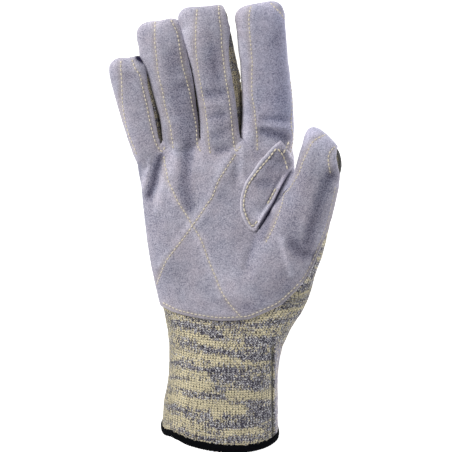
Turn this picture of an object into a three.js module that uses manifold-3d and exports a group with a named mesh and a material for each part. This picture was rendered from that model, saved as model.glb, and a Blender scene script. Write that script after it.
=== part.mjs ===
// A seamless knit work glove with a sewn split leather palm, right hand, lying palm up on its back.
// Millimetres. +X is the thumb side, +Y the fingers, +Z up out of the palm; z = 0 is what it lies on.
import * as THREE from 'three';
import { mergeVertices } from 'three/addons/utils/BufferGeometryUtils.js';
import Module from 'manifold-3d';

const wasm = await Module();
wasm.setup();

// Thicknesses, and the gap that sewn layers keep
const KNIT_WALL = 2.0;
const LEATHER = 1.2;
const LAYER_GAP = 0.3;
const LEATHER_IN = LAYER_GAP;
const LEATHER_OUT = LEATHER_IN + LEATHER;
const PATCH_IN = LEATHER_OUT + LAYER_GAP;
const PATCH_OUT = PATCH_IN + LEATHER;

// How square the sections are: 2 is an ellipse
const PALM_SQUARENESS = 2.3;
const DIGIT_SQUARENESS = 2.5;

// The rounding of a blunt fingertip, seen from the palm and from the side
const TIP_CORNER = 6.5;
const TIP_NOSE = 15;
const TIP_EDGE_SHARE = 0.34;
const TIP_STEPS = [20, 12, 6.5, 3, 0.8, 0];
const PALM_END_STEPS = [14, 8, 4, 0];

// The cuff's open end, cut at a slant so that its palm side is the longer
const HEM_MIDDLE = -122.4;
const HEM_MID_HEIGHT = 21;
const HEM_SLANT = THREE.MathUtils.degToRad(18);
const HEM_TURN = THREE.MathUtils.degToRad(4);
const HEM_OVER_KNIT = 3.2;
const HEM_PAST_EDGE = 1.3;
const HEM_THICKNESS = 0.9;
const HEM_INNER_GAP = 0.6;
const HEM_SEGMENTS = 40;

// Mesh density: the outer skins and the plainer inner one
const OUTER = { palmSides: 32, palmRows: 16, digitSides: 16, digitRows: 6 };
const INNER = { palmSides: 24, palmRows: 11, digitSides: 12, digitRows: 4 };

// The hand and cuff as one tube along Y. left and right are the sides' X, height the thickness,
// lift the middle's height. Past the knuckles the tube closes under the fingers' roots.
const PALM = [
  { along: -136, left: -37.8, right: 30.2, height: 38.6, lift: 20.6 },
  { along: -105, left: -37.0, right: 30.2, height: 38.6, lift: 20.6 },
  { along: -96, left: -34.6, right: 30.0, height: 41.5, lift: 19.8 },
  { along: -85, left: -33.8, right: 30.2, height: 41.5, lift: 19.6 },
  { along: -74, left: -33.5, right: 31.5, height: 41.0, lift: 19.4 },
  { along: -66, left: -33.9, right: 34.5, height: 40.5, lift: 19.2 },
  { along: -58, left: -35.2, right: 39.2, height: 40.0, lift: 19.0 },
  { along: -48, left: -37.4, right: 45.4, height: 39.5, lift: 18.7 },
  { along: -36, left: -40.0, right: 48.0, height: 39.0, lift: 18.4 },
  { along: -20, left: -43.2, right: 46.0, height: 38.0, lift: 17.9 },
  { along: -2, left: -45.7, right: 42.2, height: 36.0, lift: 16.9 },
  { along: 14, left: -47.3, right: 39.8, height: 33.5, lift: 15.7 },
  { along: 28, left: -48.8, right: 38.4, height: 30.5, lift: 14.3 },
  { along: 38, left: -51.0, right: 37.6, height: 27.0, lift: 13.2 },
  { along: 44, left: -51.8, right: 36.8, height: 21.0, lift: 12.9 },
  { along: 48, left: -50.8, right: 34.8, height: 12.0, lift: 12.9 },
];

// The four fingers. base is where the axis leaves the palm, lean its angle towards the little finger,
// long its length, slant the end's angle off square. edge is the leather's free edge from the axis.
const FINGERS = [
  {
    name: 'little', base: [-46.8, 45], lean: 11.1, long: 51.5, slant: 0,
    rows: [
      { along: -18, left: 3.0, right: 5.0, height: 14.0, lift: 13.0, edge: 5.0 },
      { along: 0, left: 7.0, right: 9.4, height: 21.5, lift: 12.2, edge: 6.6 },
      { along: 14, left: 8.6, right: 10.4, height: 20.5, lift: 11.9, edge: 8.4 },
      { along: 26, left: 9.8, right: 10.2, height: 19.5, lift: 12.3, edge: 8.0 },
      { along: 38, left: 10.5, right: 9.5, height: 18.6, lift: 13.8, edge: 8.0 },
      { along: 51.5, left: 10.3, right: 8.9, height: 17.6, lift: 16.4, edge: 12.0 },
    ],
  },
  {
    name: 'ring', base: [-26.8, 50], lean: 10.9, long: 68.3, slant: 6,
    rows: [
      { along: -18, left: 6.0, right: 8.0, height: 15.0, lift: 13.6, edge: 14.0 },
      { along: 0, left: 8.4, right: 11.2, height: 23.0, lift: 12.9, edge: 13.0 },
      { along: 14, left: 7.9, right: 12.2, height: 22.0, lift: 12.4, edge: 11.4 },
      { along: 28, left: 8.0, right: 13.1, height: 21.2, lift: 12.5, edge: 11.9 },
      { along: 42, left: 9.9, right: 13.4, height: 20.6, lift: 13.4, edge: 12.0 },
      { along: 54, left: 11.4, right: 12.8, height: 20.0, lift: 15.0, edge: 11.6 },
      { along: 68.3, left: 12.0, right: 11.8, height: 18.8, lift: 18.0, edge: 15.0 },
    ],
  },
  {
    name: 'middle', base: [-4.4, 50], lean: 6.7, long: 76.1, slant: 4,
    rows: [
      { along: -18, left: 6.0, right: 8.0, height: 15.0, lift: 13.7, edge: 14.0 },
      { along: 0, left: 8.9, right: 11.5, height: 23.4, lift: 13.0, edge: 12.6 },
      { along: 14, left: 8.5, right: 14.0, height: 22.4, lift: 12.5, edge: 11.9 },
      { along: 28, left: 8.7, right: 15.9, height: 21.6, lift: 12.6, edge: 12.0 },
      { along: 42, left: 9.2, right: 15.7, height: 21.0, lift: 13.6, edge: 12.0 },
      { along: 56, left: 10.8, right: 14.5, height: 20.4, lift: 15.4, edge: 12.0 },
      { along: 76.1, left: 14.4, right: 11.8, height: 19.4, lift: 19.4, edge: 15.0 },
    ],
  },
  {
    name: 'index', base: [23.4, 48], lean: 2.4, long: 79.2, slant: 8,
    rows: [
      { along: -18, left: 8.0, right: 7.0, height: 15.0, lift: 13.8, edge: 17.0 },
      { along: 0, left: 13.2, right: 14.9, height: 24.0, lift: 13.1, edge: 18.0 },
      { along: 13, left: 12.8, right: 14.3, height: 23.0, lift: 12.6, edge: 17.0 },
      { along: 24, left: 12.0, right: 14.7, height: 22.4, lift: 12.6, edge: 17.0 },
      { along: 36, left: 11.9, right: 13.5, height: 21.6, lift: 13.2, edge: 16.0 },
      { along: 50, left: 12.5, right: 12.4, height: 21.0, lift: 14.8, edge: 15.0 },
      { along: 64, left: 13.5, right: 11.8, height: 20.4, lift: 17.0, edge: 15.0 },
      { along: 79.2, left: 13.8, right: 11.2, height: 19.4, lift: 20.4, edge: 16.0 },
    ],
  },
];

// The thumb, on a curved centre line that climbs out of the heel of the hand
const THUMB_SLANT = -30;
const THUMB = [
  { x: 12.0, y: -52, z: 18.5, left: 14.0, right: 18.0, height: 24.0 },
  { x: 21.0, y: -37, z: 20.0, left: 19.0, right: 22.5, height: 34.0 },
  { x: 31.5, y: -20, z: 23.2, left: 20.0, right: 22.0, height: 35.0 },
  { x: 41.5, y: 2, z: 27.0, left: 15.5, right: 17.5, height: 29.0 },
  { x: 48.6, y: 20, z: 30.6, left: 11.5, right: 13.6, height: 24.0 },
  { x: 52.2, y: 36, z: 34.0, left: 10.4, right: 13.1, height: 20.5 },
  { x: 53.8, y: 46, z: 36.2, left: 9.7, right: 12.4, height: 18.4 },
  { x: 55.4, y: 54.2, z: 37.8, left: 9.4, right: 8.8, height: 16.4 },
];

// Dents and swells of the palm face. turn is the fold's direction from X; deep is below the skin,
// so a swell has it negative. long and wide are where it fades.
const FOLDS = [
  { name: 'hollow of the palm', x: 2, y: 2, turn: 75, long: 34, wide: 20, deep: 4.2 },
  { name: 'swell below the little finger', x: -34, y: -4, turn: 82, long: 34, wide: 11, deep: -1.8 },
  { name: 'fold beside the little finger root', x: -41, y: 27, turn: 100, long: 15, wide: 5, deep: 2.0 },
  { name: 'fold at the index root', x: 27, y: 58, turn: 8, long: 11, wide: 4.5, deep: 2.0 },
  { name: 'crease of the thumb mound', x: 20, y: 2, turn: 60, long: 26, wide: 6, deep: 2.6 },
  { name: 'fold at the wrist', x: 4, y: -60, turn: 4, long: 30, wide: 7, deep: 1.6 },
  { name: 'second fold at the wrist', x: -14, y: -74, turn: -8, long: 22, wide: 6, deep: 1.0 },
  { name: 'swell below the middle finger', x: -8, y: 36, turn: 0, long: 22, wide: 8, deep: -1.2 },
];

// The leather's outline over the palm and the thumb, seen from above
const PALM_LEATHER = [
  [-70, 49], [-52, -20], [-44, -44.2], [-37.8, -45.5], [-30.2, -49.5], [-23.5, -51.5], [-13.6, -53.5],
  [-3.5, -54.7], [6.4, -54.3], [13.1, -53.6], [23, -49.5], [28, -46.9], [34, -30], [41, 0], [44, 26],
  [44, 49],
];
const THUMB_LEATHER = [
  [12, -51], [15.1, -52.5], [23, -49.5], [30.5, -45.8], [36.7, -39.6], [42.9, -32.7], [47.2, -25.9],
  [50.9, -17.8], [53.4, -10.3], [56.6, -1.6], [58.8, 5.8], [60.4, 14.6], [61.2, 24], [60.8, 31],
  [60.6, 38], [61.6, 44], [66, 52], [66, 75], [25, 75], [30, 40], [14, 0],
];
const LEATHER_LOW = { atWrist: 15, atKnuckles: 8.5, wristY: -50, knuckleY: 46 };
const FINGER_WRAP = 3.2;
const THUMB_WRAP = 2.5;
const STRIP_REACH = 14;

// The leaf-shaped second layer in the thumb crotch: its point is towards the wrist
const CROTCH_LEAF = {
  left: [[31, 49.5], [22.5, 41.5], [13.6, 30.6], [8.3, 15.5], [9.6, 3.6], [16.8, -2.8]],
  right: [[16.8, -2.8], [23, 7.7], [29.2, 20], [34.2, 30.4], [36.6, 37.6], [31, 49.5]],
  low: 14,
};

const COLOURS = { knit: '#B3A88A', leather: '#A4A1B0', hem: '#0B0C14' };

// Makes a smooth curve of every named column of a table over its first column
function smoothTable(rows, key) {
  const columns = Object.keys(rows[0]).filter((name) => name !== key);
  const at = rows.map((row) => row[key]);
  const values = rows.flatMap((row) => columns.map((name) => row[name]));
  const curve = new THREE.CubicInterpolant(at, values, columns.length);
  return (where) => {
    const found = curve.evaluate(THREE.MathUtils.clamp(where, at[0], at[at.length - 1]));
    return Object.fromEntries(columns.map((name, i) => [name, found[i]]));
  };
}

// Moves each vertex of a closed geometry, then joins the vertices that meet
function reshape(geometry, place) {
  const points = geometry.attributes.position;
  const vertex = new THREE.Vector3();
  for (let i = 0; i < points.count; i += 1) {
    const moved = place(vertex.fromBufferAttribute(points, i));
    points.setXYZ(i, moved.x, moved.y, moved.z);
  }
  geometry.deleteAttribute('normal');
  geometry.deleteAttribute('uv');
  return mergeVertices(geometry, 1e-4);
}

function solid(geometry) {
  const plain = geometry.clone();
  plain.deleteAttribute('normal');
  plain.deleteAttribute('uv');
  const merged = mergeVertices(plain, 1e-4);
  return new wasm.Manifold(new wasm.Mesh({
    numProp: 3,
    vertProperties: Float32Array.from(merged.attributes.position.array),
    triVerts: Uint32Array.from(merged.index.array),
  }));
}

function union(solids) {
  return solids.reduce((sum, next) => sum.add(next));
}

function block(low, high) {
  const size = high.map((value, i) => value - low[i]);
  const box = new THREE.BoxGeometry(...size);
  return box.translate(...high.map((value, i) => (value + low[i]) / 2));
}

// A point on a squared ellipse: left and right of the middle, and half as high as the section
function sectionPoint(angle, section, offset, squareness) {
  const power = 2 / squareness;
  const cos = Math.cos(angle);
  const sin = Math.sin(angle);
  const half = (cos > 0 ? section.right : section.left) + offset;
  return {
    across: Math.sign(cos) * half * Math.abs(cos) ** power,
    up: Math.sign(sin) * (section.height / 2 + offset) * Math.abs(sin) ** power,
  };
}

// How deep the folds lie at a place on the face that looks up
function foldDepth(x, y) {
  let depth = 0;
  for (const fold of FOLDS) {
    const turn = THREE.MathUtils.degToRad(fold.turn);
    const dx = x - fold.x;
    const dy = y - fold.y;
    const along = (dx * Math.cos(turn) + dy * Math.sin(turn)) / fold.long;
    const across = (dy * Math.cos(turn) - dx * Math.sin(turn)) / fold.wide;
    depth += fold.deep * Math.exp(-along * along - across * across);
  }
  return depth;
}

function sunk(point, angle) {
  const facesUp = Math.max(0, Math.sin(angle));
  point.z -= foldDepth(point.x, point.y) * Math.min(1, 1.6 * facesUp);
  return point;
}

// A tube of sections from an upright cylinder: rows along it, each with its own frame and section
function tube(sides, rows, squareness, offset, withFolds) {
  const stock = new THREE.CylinderGeometry(1, 1, rows.length - 1, sides, rows.length - 1);
  const half = (rows.length - 1) / 2;
  return reshape(stock, (vertex) => {
    const row = rows[Math.round(vertex.y + half)];
    const radius = Math.hypot(vertex.x, vertex.z);
    if (radius < 0.5) return row.centre.clone();
    const angle = Math.atan2(vertex.z, vertex.x);
    const { across, up } = sectionPoint(angle, row.section, offset, squareness);
    const place = row.centre.clone().addScaledVector(row.right, across).addScaledVector(row.up, up);
    place.addScaledVector(row.ahead, row.shear * across);
    return withFolds ? sunk(place, angle) : place;
  });
}

const X = new THREE.Vector3(1, 0, 0);
const Y = new THREE.Vector3(0, 1, 0);
const Z = new THREE.Vector3(0, 0, 1);

const palmAt = smoothTable(PALM, 'along');

function palmSection(along) {
  const { left, right, height, lift } = palmAt(along);
  const half = (right - left) / 2;
  return {
    centre: new THREE.Vector3((left + right) / 2, along, lift),
    section: { left: half, right: half, height },
  };
}

function palmTube(density, offset) {
  const first = PALM[0].along;
  const last = PALM[PALM.length - 1].along;
  const places = PALM_END_STEPS.map((step) => last - step);
  for (let i = density.palmRows - 1; i >= 0; i -= 1) {
    places.unshift(THREE.MathUtils.lerp(first, last - PALM_END_STEPS[0], i / density.palmRows));
  }
  const rows = places.map((along) => {
    const { centre, section } = palmSection(along);
    if (along === last) centre.y += offset;
    return { centre, section, right: X, up: Z, ahead: Y, shear: 0 };
  });
  return solid(tube(density.palmSides, rows, PALM_SQUARENESS, offset, true));
}

// The rounding near a digit's end, as what is left of the width and the height
function tipRounding(fromEnd) {
  const corner = Math.max(0, TIP_CORNER - fromEnd);
  const inset = TIP_CORNER - Math.sqrt(TIP_CORNER ** 2 - corner ** 2);
  const nose = Math.max(0, TIP_NOSE - fromEnd) / TIP_NOSE;
  const share = Math.sqrt(1 - nose * nose);
  return { inset, heightShare: TIP_EDGE_SHARE + (1 - TIP_EDGE_SHARE) * share };
}

// Where a digit's rows stand: even steps along it, then close ones round the tip. The offset of the
// skin grows over the tip's own length, so that skins at two offsets keep the same rows.
function rowPlaces(start, long, count, offset) {
  const tipLong = TIP_STEPS[0];
  const body = long - tipLong;
  const places = [];
  for (let i = 0; i < count; i += 1) {
    const along = start + ((body - start) * i) / count;
    places.push({ along, fromEnd: long - along });
  }
  for (const step of TIP_STEPS) {
    places.push({ along: long - step + offset * (1 - step / tipLong), fromEnd: step });
  }
  return places;
}

function fingerFrame(finger) {
  const lean = THREE.MathUtils.degToRad(finger.lean);
  return {
    ahead: new THREE.Vector3(-Math.sin(lean), Math.cos(lean), 0),
    right: new THREE.Vector3(Math.cos(lean), Math.sin(lean), 0),
    at: smoothTable(finger.rows, 'along'),
  };
}

function fingerRows(finger, density, offset) {
  const { ahead, right, at } = fingerFrame(finger);
  const slant = Math.tan(THREE.MathUtils.degToRad(finger.slant));
  const places = rowPlaces(finger.rows[0].along, finger.long, density.digitRows, offset);
  return places.map(({ along, fromEnd }) => {
    const row = at(along);
    const tip = tipRounding(fromEnd);
    return {
      centre: new THREE.Vector3(...finger.base, row.lift).addScaledVector(ahead, along),
      section: {
        left: row.left - tip.inset,
        right: row.right - tip.inset,
        height: row.height * tip.heightShare,
      },
      right, up: Z, ahead, wide: row.left, edge: row.edge,
      shear: slant * THREE.MathUtils.smoothstep(-fromEnd, -0.45 * finger.long, 0),
    };
  });
}

function fingerTube(finger, density, offset) {
  const rows = fingerRows(finger, density, offset);
  return solid(tube(density.digitSides, rows, DIGIT_SQUARENESS, offset, true));
}

const thumbLine = new THREE.CatmullRomCurve3(THUMB.map((row) => new THREE.Vector3(row.x, row.y, row.z)));
const thumbAt = smoothTable(THUMB.map((row, i) => ({
  share: i / (THUMB.length - 1), left: row.left, right: row.right, height: row.height,
})), 'share');
const THUMB_LONG = thumbLine.getLength();

function thumbRow({ along, fromEnd }) {
  const share = THREE.MathUtils.clamp(along / THUMB_LONG, 0, 1);
  const centre = thumbLine.getPointAt(share);
  const ahead = thumbLine.getTangentAt(share);
  centre.addScaledVector(ahead, along - share * THUMB_LONG);
  const right = new THREE.Vector3().crossVectors(ahead, Z).normalize();
  const up = new THREE.Vector3().crossVectors(right, ahead);
  const row = thumbAt(thumbLine.getUtoTmapping(share));
  const tip = tipRounding(fromEnd);
  const slant = Math.tan(THREE.MathUtils.degToRad(THUMB_SLANT));
  return {
    centre, right, up, ahead,
    section: { left: row.left - tip.inset, right: row.right - tip.inset, height: row.height * tip.heightShare },
    shear: slant * THREE.MathUtils.smoothstep(-fromEnd, -0.3 * THUMB_LONG, 0),
  };
}

function thumbTube(density, offset) {
  const rows = rowPlaces(0, THUMB_LONG, density.digitRows, offset).map(thumbRow);
  return solid(tube(density.digitSides, rows, DIGIT_SQUARENESS, offset, false));
}

// The whole hand form, its skin moved out by an offset, and flat where it lies on its back
function handForm(offset, density) {
  const above = solid(block([-200, -200, Math.max(0, -offset)], [200, 200, 200]));
  const parts = [palmTube(density, offset), thumbTube(density, offset)];
  for (const finger of FINGERS) parts.push(fingerTube(finger, density, offset));
  return union(parts).intersect(above);
}

function hemY(x, z) {
  return HEM_MIDDLE - (z - HEM_MID_HEIGHT) * Math.tan(HEM_SLANT) - x * Math.tan(HEM_TURN);
}

// Everything on the fingers' side of the slanted hem
function aboveHem() {
  const slab = block([-200, 0, -200], [200, 400, 200]);
  return solid(reshape(slab, (vertex) => vertex.setY(vertex.y + hemY(vertex.x, vertex.z))));
}

// The knit: outer form less inner form, open at the cuff
function knitGlove() {
  const outer = handForm(0, OUTER);
  const inner = handForm(-KNIT_WALL, INNER);
  return outer.subtract(inner).intersect(aboveHem());
}

// A prism over an outline seen from above, with its floor rising or falling along Y
function prism(outline, low, high) {
  const shape = new THREE.Shape(outline.map(([x, y]) => new THREE.Vector2(x, y)));
  const geometry = new THREE.ExtrudeGeometry(shape, { depth: 1, bevelEnabled: false });
  return solid(reshape(geometry, (vertex) => {
    const floor = low(vertex.y);
    return vertex.setZ(vertex.z > 0.5 ? high : floor);
  }));
}

// A box-shaped strip along a digit that keeps its leather side and stops at the free edge
function strip(rows, wrap) {
  const stock = new THREE.BoxGeometry(1, rows.length - 1, 1, 1, rows.length - 1, 1);
  const half = (rows.length - 1) / 2;
  return solid(reshape(stock, (vertex) => {
    const row = rows[Math.round(vertex.y + half)];
    const across = vertex.x < 0 ? -row.wide - LEATHER_OUT - LAYER_GAP : row.edge;
    const up = vertex.z > 0 ? STRIP_REACH * 2 : -wrap;
    const place = row.centre.clone().addScaledVector(row.right, across).addScaledVector(row.up, up);
    return place.addScaledVector(row.ahead, row.reach ?? 0);
  }));
}

function fingerStrip(finger) {
  const rows = fingerRows(finger, { digitRows: 6 }, 0).slice(0, 2 - TIP_STEPS.length);
  rows.push({ ...rows[rows.length - 1], reach: STRIP_REACH + TIP_STEPS[1] });
  return strip(rows, FINGER_WRAP);
}

function thumbStrip() {
  const rows = [];
  for (let i = 0; i <= 8; i += 1) {
    const along = (i / 8) * (THUMB_LONG + STRIP_REACH);
    rows.push({ ...thumbRow({ along, fromEnd: TIP_NOSE }), wide: 40, edge: 60 });
  }
  return strip(rows, THUMB_WRAP);
}

function leatherLow(y) {
  const { atWrist, atKnuckles, wristY, knuckleY } = LEATHER_LOW;
  return THREE.MathUtils.mapLinear(y, wristY, knuckleY, atWrist, atKnuckles);
}

// The leather palm: a shell just outside the knit, cut to the outline of the sewn piece
function leatherPalm() {
  const shell = handForm(LEATHER_OUT, OUTER).subtract(handForm(LEATHER_IN, OUTER));
  const palm = prism(PALM_LEATHER, leatherLow, 90);
  const thumb = prism(THUMB_LEATHER, () => 4, 90).intersect(thumbStrip());
  return shell.intersect(union([palm, thumb, ...FINGERS.map(fingerStrip)]));
}

function leafOutline() {
  const smooth = (side) => new THREE.SplineCurve(side.map(([x, y]) => new THREE.Vector2(x, y))).getPoints(9);
  const points = smooth(CROTCH_LEAF.left).slice(0, -1).concat(smooth(CROTCH_LEAF.right).slice(0, -1));
  return points.map((point) => [point.x, point.y]);
}

function crotchPatch() {
  const shell = handForm(PATCH_OUT, OUTER).subtract(handForm(PATCH_IN, OUTER));
  return shell.intersect(prism(leafOutline(), () => CROTCH_LEAF.low, 90));
}

// The overlocked hem: a channel round the cuff's raw edge
function hemBand() {
  const out = LAYER_GAP + HEM_THICKNESS;
  const inside = -KNIT_WALL - HEM_INNER_GAP - HEM_THICKNESS;
  const outline = [
    [out, 0.5 - HEM_OVER_KNIT], [out, HEM_PAST_EDGE - 1], [out - 1, HEM_PAST_EDGE],
    [inside + 1, HEM_PAST_EDGE], [inside, HEM_PAST_EDGE - 1], [inside, 0.5 - HEM_OVER_KNIT],
    [inside + 0.4, -HEM_OVER_KNIT], [inside + HEM_THICKNESS, -HEM_OVER_KNIT],
    [inside + HEM_THICKNESS, LAYER_GAP], [LAYER_GAP, LAYER_GAP], [LAYER_GAP, -HEM_OVER_KNIT],
    [out - 0.4, -HEM_OVER_KNIT],
  ];
  const wide = 100;
  const profile = outline.map(([proud, past]) => new THREE.Vector2(wide + proud, past));
  profile.push(profile[0].clone());
  const stock = new THREE.LatheGeometry(profile, HEM_SEGMENTS);
  const { centre, section } = palmSection(HEM_MIDDLE);
  return solid(reshape(stock, (vertex) => {
    const proud = Math.hypot(vertex.x, vertex.z) - wide;
    const angle = Math.atan2(-vertex.z, vertex.x);
    const { across, up } = sectionPoint(angle, section, proud, PALM_SQUARENESS);
    const x = centre.x + across;
    const z = centre.z + up;
    return new THREE.Vector3(x, hemY(x, z) - vertex.y, z);
  }));
}

function piece(name, form, colour, roughness) {
  const mesh = form.getMesh();
  const geometry = new THREE.BufferGeometry();
  geometry.setAttribute('position', new THREE.BufferAttribute(Float32Array.from(mesh.vertProperties), 3));
  geometry.setIndex(new THREE.BufferAttribute(Uint32Array.from(mesh.triVerts), 1));
  geometry.computeVertexNormals();
  const material = new THREE.MeshStandardMaterial({ color: colour, roughness, metalness: 0 });
  const made = new THREE.Mesh(geometry, material);
  made.name = name;
  return made;
}

const glove = new THREE.Group();
glove.name = 'work_glove';
glove.add(
  piece('knit_glove', knitGlove(), COLOURS.knit, 0.95),
  piece('leather_palm', leatherPalm(), COLOURS.leather, 0.9),
  piece('thumb_crotch_patch', crotchPatch(), COLOURS.leather, 0.9),
  piece('hem_band', hemBand(), COLOURS.hem, 0.9),
);

// The origin is on the floor, under the middle of the whole glove
const extent = new THREE.Box3().setFromObject(glove);
const middle = extent.getCenter(new THREE.Vector3());
glove.position.set(-middle.x, -middle.y, -extent.min.z);

export default glove;
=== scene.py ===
"""A right-hand knit work glove with a sewn split leather palm, lying palm up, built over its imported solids.

Sizes are in millimetres unless a name says otherwise. +X is the thumb side, +Y the fingers, +Z up out
of the palm. A place in the photograph is a plane place: millimetres right of and above the middle of the
view, at the distance of the glove. Routes are measured in the photograph's pixels.
"""

import math
from functools import lru_cache, partial

import bmesh
import bpy
import numpy as np
from mathutils import Matrix, Vector, noise
from mathutils.bvhtree import BVHTree


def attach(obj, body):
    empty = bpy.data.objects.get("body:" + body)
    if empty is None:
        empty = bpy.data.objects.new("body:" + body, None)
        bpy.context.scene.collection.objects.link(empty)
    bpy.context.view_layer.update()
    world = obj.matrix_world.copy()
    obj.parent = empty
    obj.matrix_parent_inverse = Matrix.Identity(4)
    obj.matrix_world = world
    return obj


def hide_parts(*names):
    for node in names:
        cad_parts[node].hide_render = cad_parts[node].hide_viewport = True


bl_info = {
    "name": "Knit work glove with a split leather palm",
    "version": (1, 0, 0),
    "blender": (4, 5, 0),
    "location": "View3D > Sidebar > Glove",
    "description": "Builds the visible pieces of the glove over its solids",
    "category": "Object",
}

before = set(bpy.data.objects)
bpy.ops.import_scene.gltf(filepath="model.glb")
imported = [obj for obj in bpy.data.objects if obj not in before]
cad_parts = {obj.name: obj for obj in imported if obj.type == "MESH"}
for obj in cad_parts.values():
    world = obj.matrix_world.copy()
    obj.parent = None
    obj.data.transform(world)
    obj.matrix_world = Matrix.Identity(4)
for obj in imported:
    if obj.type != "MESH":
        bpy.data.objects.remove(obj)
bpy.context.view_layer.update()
MM = 0.001
WHITE = (1.0, 1.0, 1.0, 1.0)

# The view: where the camera looks, how far off it is, and what a pixel covers there
IMAGE_SIDE = 452
PIXEL = 0.58
PIXEL_MIDDLE = 226.5
VIEW_DISTANCE = 950.0
VIEW_TILT = math.radians(10)
SENSOR = 36.0
RIGHT = np.array([1.0, 0.0, 0.0])
AHEAD = np.array([0.0, -math.sin(VIEW_TILT), -math.cos(VIEW_TILT)])
UPWARD = np.cross(RIGHT, AHEAD)
HAND_ORIGIN = np.array([1.069, 0.225, 0.0])

# The floor's half side and how far it lies below the glove, in metres
FLOOR_SIZE = 6.0
FLOOR_DROP = 0.0004

# The light: a lit white table, a pale sky and soft lamps. A lamp's turn is counted from +X towards +Y
# and its height from the table, in degrees; its side is in metres.
TABLE_LIGHT = 0.9
WORLD_LIGHT = 0.42
LAMP_DISTANCE = 1.3
LAMPS = [
    # name, turn, height, side, watts, colour
    ("key", 135, 30, 0.6, 13.0, (1.0, 0.985, 0.97)),
    ("rim", -5, 14, 0.5, 2.5, (0.82, 0.86, 1.0)),
]
OFF_MIDDLE = (PIXEL_MIDDLE - IMAGE_SIDE / 2) * PIXEL
AIM = HAND_ORIGIN + np.array([0, 0, 25.0]) + OFF_MIDDLE * (UPWARD - RIGHT)
EYE = AIM - VIEW_DISTANCE * AHEAD

# The slanted plane of the cuff's open end, in the hand's own frame, how far the cuff is drawn out past
# it before it is cut, and how much deeper the hem's upper edge bends in its middle
HEM_POINT = np.array([0.0, -122.4, 21.0])
HEM_NORMAL = np.array([math.tan(math.radians(4)), 1.0, math.tan(math.radians(18))])
HEM_NORMAL = HEM_NORMAL / np.linalg.norm(HEM_NORMAL)
CUFF_SPARE = 9.0
HEM_SPARE = 1.1

# The overlocked hem: the middle of its oval, its height, half width and half height, how many turns of
# yarn go round it and how they slant, how high a turn stands, how deep it bites into the cuff and from
# where on, and how far out, how near the end and from which height on its upper edge bends
HEM = {"mid": -3.5, "lift": 20.6, "half": 33.6, "rise": 19.3, "turns": 150, "slant": 0.12, "high": 0.34,
       "sunk": 0.1, "bite": 0.8, "bites": (0.8, 2.6), "bend": 33, "end": (0.8, -1.0), "upper": (18, 30)}

# Painted shade on the knit: beside the thumb's tip, down the cuff's left flank, below the thumb's mound,
# beside the middle finger's tip and at the end of the little finger's gap. A route in pixels, how wide it
# fades in millimetres and how much darker it is
KNIT_SHADES = [
    ([(339, 147), (342, 159), (342.5, 171)], 4.0, 0.93),
    ([(162, 312), (167, 335), (167, 380), (163, 418)], 7.0, 0.39),
    ([(292, 304), (310, 290)], 5.0, 0.20),
    ([(225, 5), (229, 16), (231, 34)], 2.2, 0.92),
    ([(157, 130), (160, 146)], 2.4, 0.45),
]

# How far up the cuff its end's droop reaches, how far it droops at places across it, and how much more at
# its sides for each millimetre below a height
DROOP_REACH = 26
SIDE_DROOP = {"below": 22, "from": 20, "full": 32, "share": 0.2}
HEM_DROOP = [(-39, 2.4), (-36.5, 1.4), (-34.5, 0.0), (-32.5, -0.9), (-28, -0.9), (-23.5, 0.0), (-9.6, 0.9),
             (0, 1.3), (10, 1.4), (26, 0.8), (29, 0.9), (33, 1.8)]

# Layers, outwards from the knit's face
LEATHER_IN = 0.3
LEATHER_OUT = 1.5
PATCH_IN = 1.8
PATCH_OUT = 3.0

# The meshes: the rounds of smoothing for all of the skin, for its flaws and for its normals, were its
# squares 1 mm wide; the side of the inner face's squares and its rounds; how near points of a solid are
# one, in metres; how near the plane of the cuff's end a point is on it; how near a corner, as a share of
# an edge, a sheet is cut through that corner; and the fewest faces that a cut sheet of leather may have
SKIN_ROUNDS = 50
FLAW_ROUNDS = 45
NORMAL_ROUNDS = 5
INNER_VOXEL = 1.7
INNER_ROUNDS = 14
WELD = 2e-6
ON_PLANE = 0.02
NEAR_CORNER = 0.22
FEWEST_FACES = 300

# The step of a route that only guides a wide mark
COARSE_STEP = 2.0

# How far outside its line a sheet is kept until it is trimmed, how far in the leather's cut edge is
# rounded and from which share of its thickness, and how far in it is paler, partly the raw edge's own
# colour and partly a painted highlight
TRIM_SPARE = 3
ROUNDED = 1.5
EDGE_SHARE = 0.42
PALE_RIM = 1.2

# How much wider the cloth stands below the fingers and down the little finger's side, and from where on
WIDER = {"out": 0.4, "below": (50, 40), "side": (-50, -56)}

# How far the knit swells between two fingers, from where to where along a finger, at its crotch, below
# the leather's edge and off the table, and how squarely it has to face its neighbour; the same two for
# the painted shade there; and how far round to the back the listed knit shades reach
SWELL = {"out": 2.0, "root": (-16, -9), "end": 12, "crotch": (12, 4), "below": (3, -3), "above": (1, 5),
         "facing": (0.5, 0.9)}
BETWEEN_SHADE = {"above": (4, 7), "facing": (0.35, 0.8)}
SHADED_UPWARD = (-0.3, -0.08)

# Unevenness: how far it goes, the size of its patches, and its seed
KNIT_UNEVEN = [(0.22, 5.5, 3), (0.12, 2.2, 4)]
PALM_UNEVEN = [(0.2, 11, 1), (0.1, 3.6, 2)]
LEAF_UNEVEN = [(0.1, 6, 5)]

# How light and how dark a fold's painted highlight and painted shade may be, how far round the leather
# folds and their painted shading reach, and past which depth hollows level off, and over how much more
TONE_RANGE = (-0.6, 0.97)
FOLDS_UPWARD = (0.1, 0.6)
PAINTED_SHADE_UPWARD = (-0.35, 0.1)
DEEPEST = 0.6
LEVELLING = 0.5
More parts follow.
